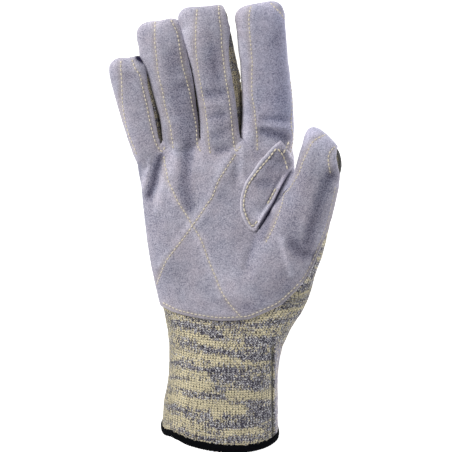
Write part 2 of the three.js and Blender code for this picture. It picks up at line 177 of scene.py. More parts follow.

# The fingers: where the axis leaves the palm, its lean to the little finger's side and its length; then,
# at the root and the tip, the middle and half of the width, how low the leather's wrap reaches, how high
# the middle lies and how thick it is; last, how far along it the knit swells against the next finger,
# and how much painted shade darkens the knit there. Heights change along a finger by a curve to its tip.
FINGERS = {
    "little": {"base": (-46.8, 45), "lean": 11.1, "long": 51.5, "mid": (1.0, -0.7), "half": (8.6, 9.8),
               "low": (8.9, 13.2), "lift": (12.0, 16.4), "height": (21.0, 17.6),
               "reach": 46, "painted_dark": 0.08},
    "ring": {"base": (-26.8, 50), "lean": 10.9, "long": 68.3, "mid": (1.9, 0.2), "half": (10.0, 12.2),
             "low": (9.2, 14.8), "lift": (12.5, 18.0), "height": (22.6, 18.8),
             "reach": 62, "painted_dark": 0.2},
    "middle": {"base": (-4.4, 50), "lean": 6.7, "long": 76.1, "mid": (2.6, -1.0), "half": (10.6, 13.0),
               "low": (9.4, 16.2), "lift": (12.7, 19.4), "height": (23.0, 19.4),
               "reach": 45, "painted_dark": 0.36},
    "index": {"base": (23.4, 48), "lean": 2.4, "long": 79.2, "mid": (0.9, -1.2), "half": (13.8, 12.5),
              "low": (9.5, 17.2), "lift": (12.8, 20.4), "height": (23.6, 19.4),
              "reach": 38, "painted_dark": 0.36},
}
TIP_CURVE = 2.4

# How far below a finger's root its strip of leather starts, and how low and how far right a strip's
# points may lie in the hand's own frame; how far left of the finger's free edge its strip could reach; and
# how far left on a finger, facing how much to the right and how far along it, a point is the neighbour's
STRIP_START = -8
STRIPS_FROM = 36
STRIPS_RIGHT = 44
FAR_LEFT = 60
LEANING = {"across": -0.5, "facing": 0.35, "along": 16}

# The leather's free edge down the right of each finger, as plane places from the tip to the root
FREE_EDGES = {
    "little": [(-46.8, 110), (-47.4, 94), (-46.9, 88), (-46.2, 80.5), (-43.6, 70.4), (-41.7, 60.1),
               (-40.3, 53), (-39.4, 47), (-39, 40)],
    "ring": [(-22.0, 140), (-26.4, 118), (-25.6, 107.7), (-22.7, 97), (-21.2, 89.6), (-19.7, 79.6),
             (-18.9, 73.9), (-17.4, 62.8), (-16.6, 53.9), (-16, 47), (-15, 40)],
    "middle": [(-5, 140), (-2.4, 128.5), (-0.6, 121), (1.3, 115.5), (1.4, 111.7), (0.8, 108.2), (1.0, 99.5),
               (1.5, 93.7), (2.3, 89.6), (3.0, 85), (4.6, 74.1), (6, 60), (6.9, 51), (7.5, 40)],
    "index": [(60, 140), (60, 40)],
}

# The leather's outline over the palm and over the thumb, as plane places
PALM_OUTLINE = [
    (-80, 51), (-66, -10), (-54, -40), (-45, -44.6), (-37.8, -45.7), (-30.2, -49.5), (-23.5, -51.5),
    (-13.6, -53.5), (-3.5, -54.7), (6.4, -54.3), (13.1, -53.6), (23, -49.5), (28, -46.9), (34, -30),
    (41, 0), (44, 26), (44, 51),
]
THUMB_OUTLINE = [
    (12, -52), (15.1, -52.5), (23, -49.5), (30.5, -45.8), (37.0, -40.0), (43.5, -33.1), (48.0, -26.2),
    (51.9, -18.1), (54.7, -10.6), (58.1, -2.0), (60.4, 5.5), (62.4, 14.3), (64.3, 23), (65.2, 30),
    (64.0, 35), (63.0, 40), (63.2, 44.5), (68, 50), (68, 80), (25, 80), (30, 40), (14, 0),
]

# How low the leather reaches down the sides of the hand and of the thumb
PALM_LOW = {"wrist_y": -50, "at_wrist": 15, "knuckle_y": 46, "at_knuckle": 8.5}
THUMB_LOW = {"from_y": -52, "at": 16.0, "rise": 0.182, "steep": 0.9}

# The leaf-shaped patch, as plane places from its tip near the index round its left side
LEAF_OUTLINE = [
    (31, 50.3), (25.7, 45.4), (19.6, 38.6), (15.2, 32.4), (11.1, 26.2), (8.5, 19), (7.7, 13), (8.4, 7.2),
    (10.8, 1.6), (14.0, -2.2), (17.2, -3.0), (19.6, 0.6), (23, 7.2), (27.3, 15.9), (31, 23.4),
    (34.6, 30.6), (37.0, 36.6), (35.2, 42.6),
]

# Where thread runs, in the photograph's pixels
SEAMS = {
    "little_left": [(121, 60.6), (120.7, 67.6), (121.7, 79.7), (122.2, 95.3), (123, 106.8), (126.4, 126),
                    (131.4, 141.2), (134.4, 148), (137, 155)],
    "little_right": [(131.9, 59.3), (135.4, 68.9), (139.5, 74.6), (141.5, 82.3), (143.4, 91.2),
                     (146.7, 105.2), (149, 117.5), (150.9, 125.9), (152.8, 133.6), (155.9, 143.5),
                     (160.4, 150.4), (163.5, 151.2)],
    "little_root": [(163.5, 151.2), (165, 145.8)],
    "ring_left": [(155.2, 21.7), (154.8, 33.2), (155.2, 45.9), (156.4, 56.1), (157.4, 67.6), (159.3, 78.4),
                  (162.7, 91.5), (165, 105.2), (167.3, 114.4), (170.4, 125.9), (171.5, 135.1),
                  (172.7, 142.7), (173.4, 149)],
    "ring_right": [(170.8, 19.8), (173.3, 24.9), (176.5, 31.3), (178.4, 39.5), (179.7, 48.5), (181, 57.4),
                   (182.9, 67.6), (185.5, 76.5), (188, 86.1), (190.3, 95.3), (193, 110.6),
                   (194.9, 119.8), (196.4, 129.7), (196.8, 139.7), (197.9, 146.6), (201, 152)],
    "middle_left": [(197.2, 9.2), (196, 25.2), (195.7, 45.9), (197.2, 61.2), (198.7, 72.7), (200.7, 84.2),
                    (203.3, 98.7), (204.8, 105.2), (206.3, 116.7), (207.9, 129.7), (208.6, 139.7),
                    (210.3, 154)],
    "middle_right": [(218.6, 5.4), (219, 15.3), (220.9, 30.6), (221.7, 45.9), (223.6, 62.7),
                     (225.9, 80.3), (228.6, 96.4), (230.6, 112.5), (232.5, 131.7), (234, 145),
                     (235.9, 152)],
    "middle_root": [(235.9, 152), (241, 146)],
    "index_left": [(251.2, 6.1), (249.2, 15.3), (249.2, 25.2), (250.4, 39.8), (251.5, 53.6),
                   (252.3, 63.5), (251.9, 76.5), (252.2, 95.3), (254.5, 108.7), (255.5, 121.1),
                   (256.9, 134.5), (257.4, 151)],
    "index_tip_right": [(270.3, 2.8), (274.9, 7.7), (280.2, 13), (284.4, 19.1)],
    "index_side": [(290.2, 81), (291.6, 92), (292, 101), (291.8, 109), (291.0, 121), (291.9, 130),
                   (293.4, 139), (291.6, 147), (289.5, 157)],
    "palm_down_right": [(163.9, 155.7), (165, 164), (166.6, 171.8), (168.4, 181), (172.9, 190.7),
                        (178.2, 202.3), (184.5, 212.1), (192.5, 225.5), (201.4, 240.7), (208.6, 260.4),
                        (215.7, 277.3), (220.2, 288.9), (228.2, 302.3), (240.7, 316.6)],
    "palm_down_left": [(235.9, 153.7), (231.6, 160.4), (223.9, 171.9), (218.3, 181.2), (212.2, 197),
                       (207.7, 203.2), (198.8, 216.6), (192.5, 225.5), (183.6, 238), (174.6, 249.6),
                       (165.7, 262.1), (159.5, 277.3), (156.8, 284.5)],
    "thumb_main": [(325.4, 134.7), (320.2, 137), (314.4, 140.4), (311, 144.4), (307.6, 151.9),
                   (303, 161.7), (300.1, 170.8), (296.1, 178.3), (289.2, 189.2), (284.3, 194),
                   (282.2, 203.6), (277.9, 216.5), (273.6, 227.2), (265.5, 243)],
    "thumb_right": [(335.1, 146.7), (331.7, 149.6), (329.4, 153), (328.2, 157.6), (328.5, 162.8),
                    (329.4, 168.6), (330.5, 173.7)],
}
PATCH_SEAMS = {
    "leaf_left": [(276.5, 148.4), (267, 160.4), (261.2, 167), (253.6, 176.6), (246.9, 188.1),
                  (243.6, 203.6), (245.7, 214.3), (250, 223.9), (253.2, 225.5), (257.5, 220.7)],
    "leaf_right": [(267.4, 204.2), (271.2, 197), (275.8, 188.4)],
    "leaf_upper_right": [(277.5, 148.4), (282.3, 154.6), (285.2, 161.3), (287.6, 170)],
    "leaf_crossing": [(283.3, 153.7), (289, 141.2)],
}

# The leaf: which way a point of it may face and how high it lies at least; the share of a seam's groove
# that it takes, how much further it sinks at a seam, how dark the painted shade is there and how much of
# the browner painted shade beside thread it takes; the painted highlight along its raised border, and the
# painted shadow in the slit along its turned edge
LEAF_LEAST = {"upward": 0.05, "height": 12}
OUTSIDE = -9.0
LEAF_SEAM = {"groove": 0.9, "sink": 0.25, "dark": 0.25, "groove_shade": 0.3}
LEAF_BORDER_LIGHT = {"from": (2.4, 1.2), "light": 0.30}
LEAF_SLIT_SHADOW = {"from": (0.6, 0.2), "dark": 0.55}

# Its turned edge: over which distances it starts and stops and how far in it counts, how far in the roll
# and the hollow beside it lie and how wide they fade, how high and deep they are and how strong the
# painted highlight on the roll and the painted shadow in the hollow are, over which distances the hollow
# runs out, and the edge itself in pixels
TURNED = {"start": (0, 6), "stop": (-2, 3), "wide": 4}
LEAF_ROLL = {"at": 1.9, "wide": 1.1, "high": 0.35, "light": 0.68}
LEAF_HOLLOW = {"at": 3.8, "wide": 0.7, "deep": 0.5, "dark_at": 3.9, "dark_wide": 0.9, "dark": 0.22}
HOLLOW_END = (30, 22)
LEAF_FREE_EDGE = [(288, 172), (283.6, 182), (279, 191), (274.8, 200), (269.4, 209.5), (264, 218.5),
                  (260.5, 225.5), (257, 230)]

# The crease down the cuff's thumb side: how wide it fades, how deep it is and how dark its painted
# shade, how light the painted highlight on the knit beyond it and from how far off to how far; where it
# starts, how far round it reaches, and its route in pixels
CREASE = {"wide": 0.8, "deep": 0.7, "dark": 0.75, "light": 0.42, "from": (0.4, 1.6), "to": (6.0, 3.8),
          "start": (0, 12), "upward": (0.0, 0.2)}
CUFF_CREASE = [(273.5, 333), (273, 350), (272.8, 380), (273, 410), (273.5, 440)]

# What thread does to leather: how deep the groove is and how much deeper at a stitch, how wide it fades,
# how far off a low ridge lies and how wide that fades, how wide the browner painted shade beside the
# thread fades, and over which distances a seam's ends run out
GROOVE = {"deep": 0.12, "pinch": 0.18, "wide": 0.8, "ridge": 2.4, "ridge_wide": 1.5, "groove_shade": 1.2}
SEAM_END = (-0.5, 2.0)

# How far inside the leather's edge its seams run, on the palm and on the thumb, how thin worn thread is,
# and how much further apart, longer and thicker the leaf's stitches are
EDGE_SEAM_INSIDE = 1.8
THUMB_SEAM_INSIDE = 1.1
WORN_SEAMS = {"thumb_edge": 0.6}
LEAF_THREAD = (1.15, 1.38, 1.45)

# A stitch: the share of the pitch over which its direction is taken, to both sides, the longest that may
# be in pitches, how far up it lies as a share of its thickness, and how far up leather has to face for it
STITCH_REACH = 0.3
LONGEST_STITCH = 1.4
STITCH_LIFT = 0.08
STITCH_UPWARD = 0.05

# Folds of the leather: a route in pixels, how wide it fades and how deep it lies, in millimetres, and
# how much painted shade darkens the leather there. A ridge's depth and a painted highlight's tone are
# negative.
FOLDS = [
    # name, route, wide, deep, tone
    ("pinky side fold", [(160.5, 158), (158.3, 166), (156, 175), (154, 185), (150, 195)], 3.0, 0.5, 0.74),
    ("pinky side fold, outer stroke", [(141, 163), (141.8, 175), (141, 184)], 1.4, 0.5, 0.34),
    ("ridge at its left", [(149.5, 159), (149.8, 167), (147.8, 175), (145.5, 186)], 1.6, -0.45, -0.36),
    ("ridge at its right", [(168, 162), (166.5, 175), (163, 190), (158, 212)], 2.2, -0.6, -0.20),
    ("light under the ring finger", [(176, 148), (174, 172)], 2.8, -0.7, -0.31),
    ("hollow under the ring finger", [(189, 149), (187, 162), (185, 184), (189, 206)], 3.9, 1.0, 0.48),
    ("ridge under the middle finger", [(202, 156), (205, 178), (203, 196)], 3.2, -0.6, -0.08),
    ("ridge along the seam to the middle", [(236, 150), (225, 166), (215, 186), (208, 205), (198, 221)], 4.0,
     -0.8, -0.26),
    ("ridge along the seam from the pinky", [(168, 182), (179, 204), (190, 222)], 1.8, -0.3, -0.22),
    ("ridge along the lower right seam", [(193, 227), (204, 250), (215, 275), (224, 294)], 2.6, -0.5, -0.24),
    ("ridge along the lower left seam", [(190, 228), (175, 247), (163, 264)], 2.2, -0.4, -0.24),
    ("light middle of the palm", [(214, 212), (212, 240), (228, 270)], 12.0, 0.0, -0.15),
    ("hollow beside the index root", [(236, 160), (236, 182)], 2.4, 0.6, 0.17),
    ("ridge between middle and index", [(240, 138), (242, 158), (242, 182)], 2.4, -0.7, -0.18),
    ("dark under the middle finger", [(219, 151), (227, 150)], 3.7, 0.5, 0.34),
    ("dark under the index", [(250, 146), (256, 153)], 3.7, 0.4, 0.24),
    ("left of the palm", [(152, 215), (158, 255), (166, 290)], 9.0, 0.0, 0.18),
    ("dark foot of the palm", [(224, 306), (246, 306)], 3.8, 0.2, 0.14),
    ("dark foot of the thumb's mound", [(247, 307), (254, 308)], 3.2, 0.3, 0.24),
    ("first light of the index", [(252, 26), (251, 62)], 3.0, -0.2, -0.12),
    ("pale scratch on the index", [(240, 29), (249.5, 29.3)], 0.6, 0.0, -0.40),
    ("tip of the index", [(273, 9), (279, 18)], 2.6, 0, -0.28),
    ("index, faint crease", [(264, 95), (275, 97)], 3.9, 0.3, 0.12),
    ("index, upper crease", [(264, 118), (283, 120)], 2.1, 0.8, 0.29),
    ("index, swell between creases", [(261, 126), (289, 127)], 2.0, -0.7, -0.20),
    ("index, lower crease", [(262, 130), (272, 133), (284, 138)], 3.0, 0.9, 0.52),
    ("index, light right edge", [(291, 122), (290, 140), (286, 160)], 2.4, 0, -0.30),
    ("index, left strip", [(241, 42), (243, 80), (245, 118), (247, 150)], 2.8, -0.3, -0.36),
    ("middle, left strip", [(186.5, 32), (189.5, 60), (193.5, 86)], 2.6, -0.2, -0.52),
    ("middle, light shoulder", [(197, 28), (205, 44)], 4.0, -0.3, -0.16),
    ("middle, dark belly", [(213, 50), (216, 76)], 4.5, 0.3, 0.31),
    ("middle, upper crease", [(208, 94), (223, 92)], 2.8, 0.8, 0.34),
    ("middle, swell", [(203, 105), (224, 104)], 2.0, -0.5, -0.08),
    ("middle, second crease", [(211, 117), (224, 115)], 2.2, 0.8, 0.24),
    ("middle, third crease", [(213, 137), (228, 129)], 2.6, 0.5, 0.17),
    ("middle, light flap", [(221, 10), (224, 50), (227, 80)], 1.6, 0, -0.22),
    ("middle, dark sliver at the tip", [(224.8, 7.5), (227.2, 15), (228.6, 23)], 0.8, 0.0, 1.3),
    ("ring, light left", [(158, 28), (157, 56), (161, 80)], 3.4, -0.3, -0.16),
    ("ring, dark belly", [(172, 54), (177, 72)], 3.5, 0.2, 0.22),
    ("ring, dark crease", [(178, 86), (184, 86)], 3.0, 0.5, 0.31),
    ("ring, dark right half", [(180, 98), (186, 118), (190, 138)], 4.8, 0.2, 0.26),
    ("ring, light tip", [(175, 22), (182, 36)], 2.4, 0, -0.26),
    ("little, light tip right", [(132, 64), (136, 71), (143, 78)], 2.0, 0, -0.20),
    ("little, dark spot", [(127, 76), (132, 76)], 2.4, 0.3, 0.19),
    ("little, light flap", [(146, 88), (151, 112), (156, 138)], 1.6, 0, -0.30),
    ("little, gap at the tip", [(137.6, 59.6), (141.6, 62.0)], 1.3, 1.2, 1.30),
    ("little, dark line beside the tip", [(143.5, 63.5), (146.2, 67.5), (147.6, 74), (148.6, 80)], 0.7,
     0.4, 0.85),
    ("leaf, dark upper part", [(272, 164), (264, 184)], 4.3, 0.3, 0.24),
    ("leaf, dark middle", [(258, 183), (268, 184)], 2.6, 0.3, 0.17),
    ("leaf, light lower part", [(252, 202), (253, 220)], 2.8, -0.2, -0.18),
    ("leaf, pale foot", [(257, 214), (255, 225)], 3.2, 0.0, -0.36),
    ("gap along the leaf's free edge", [(287.5, 172), (283, 181.5), (279, 190), (275.2, 200), (270.4, 210),
                                        (265, 220), (259.5, 228.5)], 0.8, 0.5, 0.92),
    ("swell along that gap, upper", [(292.5, 173), (288, 184), (285.5, 190)], 2.2, -1.5, -0.56),
    ("swell along that gap, lower", [(284, 193.5), (279.5, 203), (275.2, 211)], 2.0, -0.6, -0.30),
    ("light between leaf and thumb", [(289, 150), (291.5, 168), (290, 182)], 3.0, -0.3, -0.38),
    ("dark below the leaf", [(257, 228), (254, 246), (247, 268)], 2.6, 0.7, 0.24),
    ("dark right of the leaf's tip", [(271, 215), (268, 226), (264, 238)], 2.8, 0.4, 0.34),
    ("curved ridge on the mound", [(283, 240), (286, 256), (291, 274)], 1.9, -1.0, -0.34),
    ("mound, darker right of it", [(294, 245), (300, 251), (310, 254)], 4.6, 0.8, 0.54),
    ("mound, lower right", [(292, 272), (286, 290)], 3.9, 0.3, 0.19),
    ("thumb, dark flank", [(328, 176), (321, 196), (315, 216), (308, 240)], 3.3, 0.8, 0.47),
    ("thumb, dusky face", [(302, 178), (296, 200), (292, 228)], 6.5, 0.0, 0.18),
    ("thumb, small light", [(302, 222), (302, 238)], 1.6, -0.4, -0.14),
    ("thumb, light tip", [(314, 138), (326, 146), (330, 160)], 6.5, 0, -0.28),
    ("thumb, light rim", [(334, 186), (328, 212), (319, 238), (308, 262)], 1.8, -0.3, -0.36),
    ("dark line along the thumb's side seam", [(333, 190), (331.5, 200), (327, 220), (320.5, 240), (313, 255),
                                       (308, 270), (303, 280)], 1.2, 0.2, 0.40),
    ("ring, face", [(165, 62), (172, 96), (182, 136)], 5.0, 0.0, 0.14),
    ("middle, face", [(208, 36), (213, 80), (220, 130)], 5.5, 0.0, 0.12),
    ("index, right of its face", [(274, 40), (278, 76), (280, 108)], 5.5, 0.0, 0.17),
    ("index, right edge", [(286, 36), (289, 76), (291, 108)], 2.0, 0.0, -0.14),
    ("little, foot", [(140, 118), (146, 140)], 3.4, 0.2, 0.12),
    ("thumb, dark below the tip seam", [(330.5, 171), (332, 176)], 1.7, 0.5, 0.34),
]

# Where the solid is coarser than cloth and is eased: the middle, how far round it, and how far the
# cloth then stands out
FLAWS = [
    ("start of the thumb", (47, -40, 22), 12, 1.9),
    ("thumb's side", (60, -8, 24), 18, 1.0),
    ("foot of the thumb's mound", (22, -2, 32), 15, 0.0),
    ("edge of the mound", (33, -46, 34), 14, 0.3),
    ("crotch of ring and middle", (-14, 49, 20), 7, 2.4),
    ("crotch of middle and index", (7, 50, 20), 7, 2.4),
    ("crotch of little and ring", (-38, 47, 18), 7, 1.6),
    ("web of the thumb", (40, 30, 26), 9, 0.0),
]

# Bands of one yarn or the other across the cuff: how far they reach round it, from where down they rule,
# and for each a route in pixels, how wide it fades in millimetres and how grey the yarn is there. A
# yellow band's number is negative.
BANDS_UPWARD = (-0.1, 0.3)
BANDS_BELOW = (-44, -54)
YARN_BANDS = [
    ([(165, 312), (200, 318)], 1.8, 0.5), ([(172, 317), (186, 320)], 1.2, -0.3),
    ([(172, 324), (190, 326), (212, 332)], 2.4, 0.8), ([(215, 322), (242, 324)], 2.2, 0.5),
    ([(250, 320), (272, 316), (282, 310)], 2.2, -0.5), ([(250, 327), (284, 321)], 1.6, 0.5),
    ([(253, 334), (280, 329)], 2.2, -0.5), ([(170, 332), (188, 334), (206, 338)], 1.7, -0.45),
    ([(213, 334), (221, 336)], 2.0, 0.7), ([(225, 334), (238, 336)], 2.2, -0.4),
    ([(171, 340), (192, 344)], 1.1, 0.4), ([(200, 341), (240, 346)], 1.7, -0.6),
    ([(250, 341), (273, 342)], 2.2, 1.25), ([(182, 344), (200, 347), (216, 351), (238, 356)], 1.7, 0.6),
    ([(171, 350), (186, 353)], 1.4, -0.3), ([(180, 355), (200, 357), (238, 360)], 1.9, -0.7),
    ([(243, 357), (273, 357)], 1.9, 1.15), ([(171, 362), (190, 366), (210, 369), (236, 370)], 1.7, 0.6),
    ([(240, 364), (273, 363)], 1.5, -0.3), ([(240, 370), (273, 371)], 1.5, 0.3),
    ([(214, 374), (232, 378)], 3.4, 0.7), ([(171, 373), (206, 374)], 1.6, -0.3),
    ([(171, 377), (192, 380)], 1.0, 0.4), ([(176, 383), (208, 386)], 2.8, -0.8),
    ([(243, 381), (256, 387)], 3.4, 0.9), ([(260, 380), (273, 382)], 2.2, 0.4),
    ([(212, 388), (240, 390)], 1.7, 0.3), ([(171, 388), (200, 395), (228, 397)], 1.6, 0.5),
    ([(230, 395), (272, 395)], 2.2, -1.1), ([(172, 398), (200, 404), (240, 409)], 2.8, -0.9),
    ([(240, 402), (273, 402)], 1.1, 0.5), ([(252, 411), (272, 413)], 2.8, 0.8),
    ([(167, 405), (183, 411)], 1.6, 0.5), ([(188, 414), (210, 415)], 1.8, 0.5),
    ([(213, 413), (220, 416)], 1.8, -0.6), ([(223, 417), (250, 418)], 1.6, 0.5),
    ([(166, 416), (188, 420)], 1.6, -0.3), ([(209, 424), (250, 425)], 1.8, 0.6),
    ([(172, 424), (200, 427)], 1.4, -0.3), ([(190, 432), (206, 433)], 1.7, -0.5),
    ([(226, 431), (262, 429)], 1.6, -0.8), ([(176, 431), (205, 437), (250, 438)], 1.5, 0.5),
    ([(226, 442), (260, 440)], 1.2, -0.4), ([(294, 301), (307, 292)], 2.6, -0.3),
    ([(255, 424), (273, 422)], 1.4, 0.4),
]

# Where the cloth stands out further than the solid or, with a negative number, not as far: the middle,
# how far round it and how far out
FITTINGS = [
    ("little's left", (-65.5, 96, 15), 6, 1.5),
    ("little's right", (-49.5, 96.5, 15), 6, 1.5),
    ("ring's left", (-50.5, 117, 17), 7, 1.5),
    ("middle's left", (-28.0, 123.5, 18), 7, 1.6),
    ("middle's right", (-1.5, 126.5, 18), 6, 1.2),
    ("end of the middle", (-8.5, 128, 18), 7, -1.5),
    ("end of the ring", (-34, 120, 17), 6.5, -1.7),
    ("end of the little", (-54.5, 98.5, 15), 5.5, -1.7),
    ("index's left", (6.0, 122.5, 18), 5, 1.3),
    ("ring's left side", (-41.5, 76, 15), 12, 1.3),
    ("ring's upper left side", (-46.5, 92, 16), 8, 0.7),
    ("middle's left side", (-24.0, 103, 17), 12, 1.7),
    ("cuff's thumb side", (33, -70, 20), 15, 0.9),
    ("right of the thumb's tip", (64, 44, 33), 6, 1.2),
]

# Where the knit shows below the end of the gap between the little and the ring finger, in pixels
GAP_END = [(157.2, 134), (163.8, 134), (162.8, 139.5), (160.6, 144.6), (159.2, 142)]

# The knit's gauge: the height of a course, and the wales round the cuff, hand, fingers and thumb. One
# unit of the knit's own UV map holds so many of either. Its rows are counted on a tube, a squared oval:
# middle and half across, height's middle and half, at places along the hand
COURSE = 1.4
CUFF_WALES = 104
HAND_WALES = 136
FINGER_WALES = 38
THUMB_WALES = 46
UV_STITCHES = 100.0
SQUARENESS = 2.3

# Between which places the wales grow from the cuff's count to the hand's, and the courses' slant at the
# hem eases off; that slant; spots on the back where the thumb's and the fingers' counts begin; where the
# thumb is clear of the tube; and how a finger's count takes over from the hand's
WALES_GROW = (-52, 48)
SLANT_EASES = (-122, -20)
COURSE_SLANT = {"x": 0.07, "z": 0.325}
THUMB_BACK = (38, -10, 2)
FINGER_BACK = (42, 1)
THUMB_FROM = 52
THUMB_CLEAR = (1.04, 1.22)
THUMB_AREA = {"right_of": 20, "below": 75}
FINGER_TAKES_OVER = (-2, 9)
FINGERS_ABOVE = 40
TUBE = {
    "along": [-140, -105, -96, -74, -58, -48, -20, 14, 48],
    "mid": [-3.8, -3.4, -2.3, -1.0, 2.0, 4.0, 1.4, -3.8, -8.0],
    "half": [34.0, 33.6, 32.3, 32.5, 37.2, 41.4, 44.6, 43.6, 43.4],
    "lift": [20.6, 20.6, 19.8, 19.4, 19.0, 18.7, 17.9, 15.7, 12.9],
    "rise": [19.3, 19.3, 20.7, 20.5, 20.0, 19.7, 19.0, 16.7, 10.0],
}

# The thumb's middle line, and its half width and half height
THUMB_OVAL = (14.0, 12.0)
THUMB_LINE = [(12, -52, 18.5), (21, -37, 20), (31.5, -20, 23.2), (41.5, 2, 27), (48.6, 20, 30.6),
              (52.2, 36, 34), (53.8, 46, 36.2), (55.4, 54.2, 37.8)]


def linear(code):
    """The linear colour of an sRGB hex value."""
    parts = [int(code[i:i + 2], 16) / 255 for i in (1, 3, 5)]
    return (*[c / 12.92 if c <= 0.04045 else ((c + 0.055) / 1.055) ** 2.4 for c in parts], 1.0)


def to_plane(pixels):
    """Pixels of the photograph as plane places."""
    pixels = np.asarray(pixels, float)
    return np.stack([(pixels[..., 0] - PIXEL_MIDDLE) * PIXEL, (PIXEL_MIDDLE - pixels[..., 1]) * PIXEL], -1)


def seen(points):
    """The plane places at which the camera sees points."""
    away = points - EYE
    scale = VIEW_DISTANCE / (away @ AHEAD)
    return np.stack([(away @ RIGHT) * scale - OFF_MIDDLE, (away @ UPWARD) * scale + OFF_MIDDLE], -1)


def sight(place):
    """The direction in which the camera sees a plane place."""
    x, y = place
    line = VIEW_DISTANCE * AHEAD + (x + OFF_MIDDLE) * RIGHT + (y - OFF_MIDDLE) * UPWARD
    return Vector(line).normalized()


def run_of(route):
    """How far along a route each of its points lies."""
    return np.concatenate([[0], np.cumsum(np.linalg.norm(np.diff(route, axis=0), axis=1))])


def read_off(values, run, at):
    """What a route's values are at distances along it."""
    return np.stack([np.interp(at, run, values[:, i]) for i in range(values.shape[1])], -1)


def smooth_route(places, step=0.6):
    """A smooth curve through places, as close points a step apart."""
    p = np.asarray(places, float)
    if len(p) == 2:
        p = np.stack([p[0], (p[0] + p[1]) / 2, p[1]])
    p = np.concatenate([[2 * p[0] - p[1]], p, [2 * p[-1] - p[-2]]])
    fine = []
    share = np.linspace(0, 1, 12, endpoint=False)[:, None]
    for a, b, c, d in zip(p, p[1:], p[2:], p[3:]):
        fine.append(0.5 * (2 * b + (c - a) * share + (2 * a - 5 * b + 4 * c - d) * share**2
                           + (3 * b - a - 3 * c + d) * share**3))
    fine = np.concatenate([*fine, [p[-2]]])
    run = run_of(fine)
    return read_off(fine, run, np.linspace(0, run[-1], max(2, int(run[-1] / step) + 1)))


def pixel_route(pixels):
    """A smooth plane route through pixels, coarse enough for a wide mark."""
    return smooth_route(to_plane(pixels), COARSE_STEP)


def seams_of(pixel_seams):
    """Seams given in pixels, as plane routes."""
    return {name: smooth_route(to_plane(pixels)) for name, pixels in pixel_seams.items()}


def beside(route, gap):
    """A route moved to its left by a gap."""
    ahead = np.gradient(route, axis=0)
    ahead /= np.linalg.norm(ahead, axis=1)[:, None]
    return route + gap * np.stack([-ahead[:, 1], ahead[:, 0]], -1)


def nearest_on(route, places):
    """For each place, how far it is from a route, how far along the route that is, and its side."""
    a, b = route[:-1], route[1:]
    span = b - a
    long = (span**2).sum(1)
    run = run_of(route)
    best = np.full(len(places), np.inf)
    along = np.zeros(len(places))
    side = np.zeros(len(places))
    for i in range(len(a)):
        away = places - a[i]
        share = np.clip(away @ span[i] / max(long[i], 1e-12), 0, 1)
        gap = ((away - share[:, None] * span[i]) ** 2).sum(1)
        nearer = gap < best
        best[nearer] = gap[nearer]
        along[nearer] = (run[i] + share * math.sqrt(long[i]))[nearer]
        side[nearer] = np.sign(span[i][0] * away[:, 1] - span[i][1] * away[:, 0])[nearer]
    return np.sqrt(best), along, side


def inside(outline, places):
    """How far places lie inside a closed outline, and negative outside it."""
    ring = np.asarray(outline, float)
    ring = np.concatenate([ring, ring[:1]])
    gap, _, _ = nearest_on(ring, places)
    odd = np.zeros(len(places), bool)
    for (ax, ay), (bx, by) in zip(ring, ring[1:]):
        crosses = (ay > places[:, 1]) != (by > places[:, 1])
        at = ax + (places[:, 1] - ay) * (bx - ax) / (by - ay if by != ay else 1)
        odd ^= crosses & (places[:, 0] < at)
    return np.where(odd, gap, -gap)


def between(pair, share):
    """What lies a share of the way from a pair's first number to its second."""
    return pair[0] + share * (pair[1] - pair[0])


def smoothstep(low, high, value):
    """Rises from 0 at low to 1 at high, gently at both ends; it falls where low is the larger."""
    share = np.clip((value - low) / (high - low), 0, 1)
    return share * share * (3 - 2 * share)


def fade(gap, wide):
    """How strong a mark is at a gap from its middle: 1 there, and nought well past its width."""
    return np.exp(-((gap / wide) ** 2))


def close_to(route, places, reach):
    """Which places lie within reach of the box round a route."""
    return ((places > route.min(0) - reach) & (places < route.max(0) + reach)).all(1)


def stroke(pixels, wide, places):
    """How strong a mark along a route in pixels is at places."""
    route = pixel_route(pixels)
    close = close_to(route, places, 2.6 * wide)
    strong = np.zeros(len(places))
    strong[close] = fade(nearest_on(route, places[close])[0], wide)
    return strong


def wander(points, size, seed):
    """A gentle unevenness of a given size in millimetres, from -1 to 1; each seed starts elsewhere."""
    offset = Vector((seed * 17.3, seed * 5.1, seed * 9.7))
    return np.array([noise.noise(Vector(p / size) + offset) for p in points])


def unevenness(points, rows):
    """The unevenness that rows of amount, size and seed add up to."""
    return sum(amount * wander(points, size, seed) for amount, size, seed in rows)


def row_values(items, key, width, kind=np.float32):
    """The values of a mesh's items, a row for each."""
    flat = np.empty(len(items) * width, kind)
    items.foreach_get(key, flat)
    return flat.reshape(-1, width)


def mesh_points(mesh):
    """A mesh's vertices in millimetres."""
    return row_values(mesh.vertices, "co", 3).astype(float) / MM


def mesh_normals(mesh):
    """The directions in which a mesh's vertices face."""
    return row_values(mesh.vertex_normals, "vector", 3).astype(float)


def set_points(mesh, points):
    """Moves a mesh's vertices to points in millimetres."""
    mesh.vertices.foreach_set("co", (points * MM).astype(np.float32).ravel())
    mesh.update()


def neighbour_mean(values, edges, count):
    """The mean of each vertex's neighbours' values."""
    a, b = edges[:, 0], edges[:, 1]
    columns = [np.bincount(a, values[b, i], len(values)) + np.bincount(b, values[a, i], len(values))
               for i in range(values.shape[1])]
    return np.stack(columns, -1) / count[:, None]


def relaxed(values, mesh, rounds, pull=0.6, push=-0.63, weight=None):
    """Values smoothed over a mesh: each round pulls in and pushes back, so that the form keeps its size."""
    edges = row_values(mesh.edges, "vertices", 2, np.int64)
    count = np.maximum(np.bincount(edges.ravel(), minlength=len(values)), 1)
    weight = 1.0 if weight is None else weight[:, None]
    for _ in range(rounds):
        for share in (pull, push) if push else (pull,):
            values = values + share * weight * (neighbour_mean(values, edges, count) - values)
    return values


def unit_rows(values):
    """Directions brought to a length of 1."""
    return values / np.linalg.norm(values, axis=1)[:, None]


def linked(name, data):
    """A new object in the scene."""
    made = bpy.data.objects.new(name, data)
    bpy.context.scene.collection.objects.link(made)
    return made


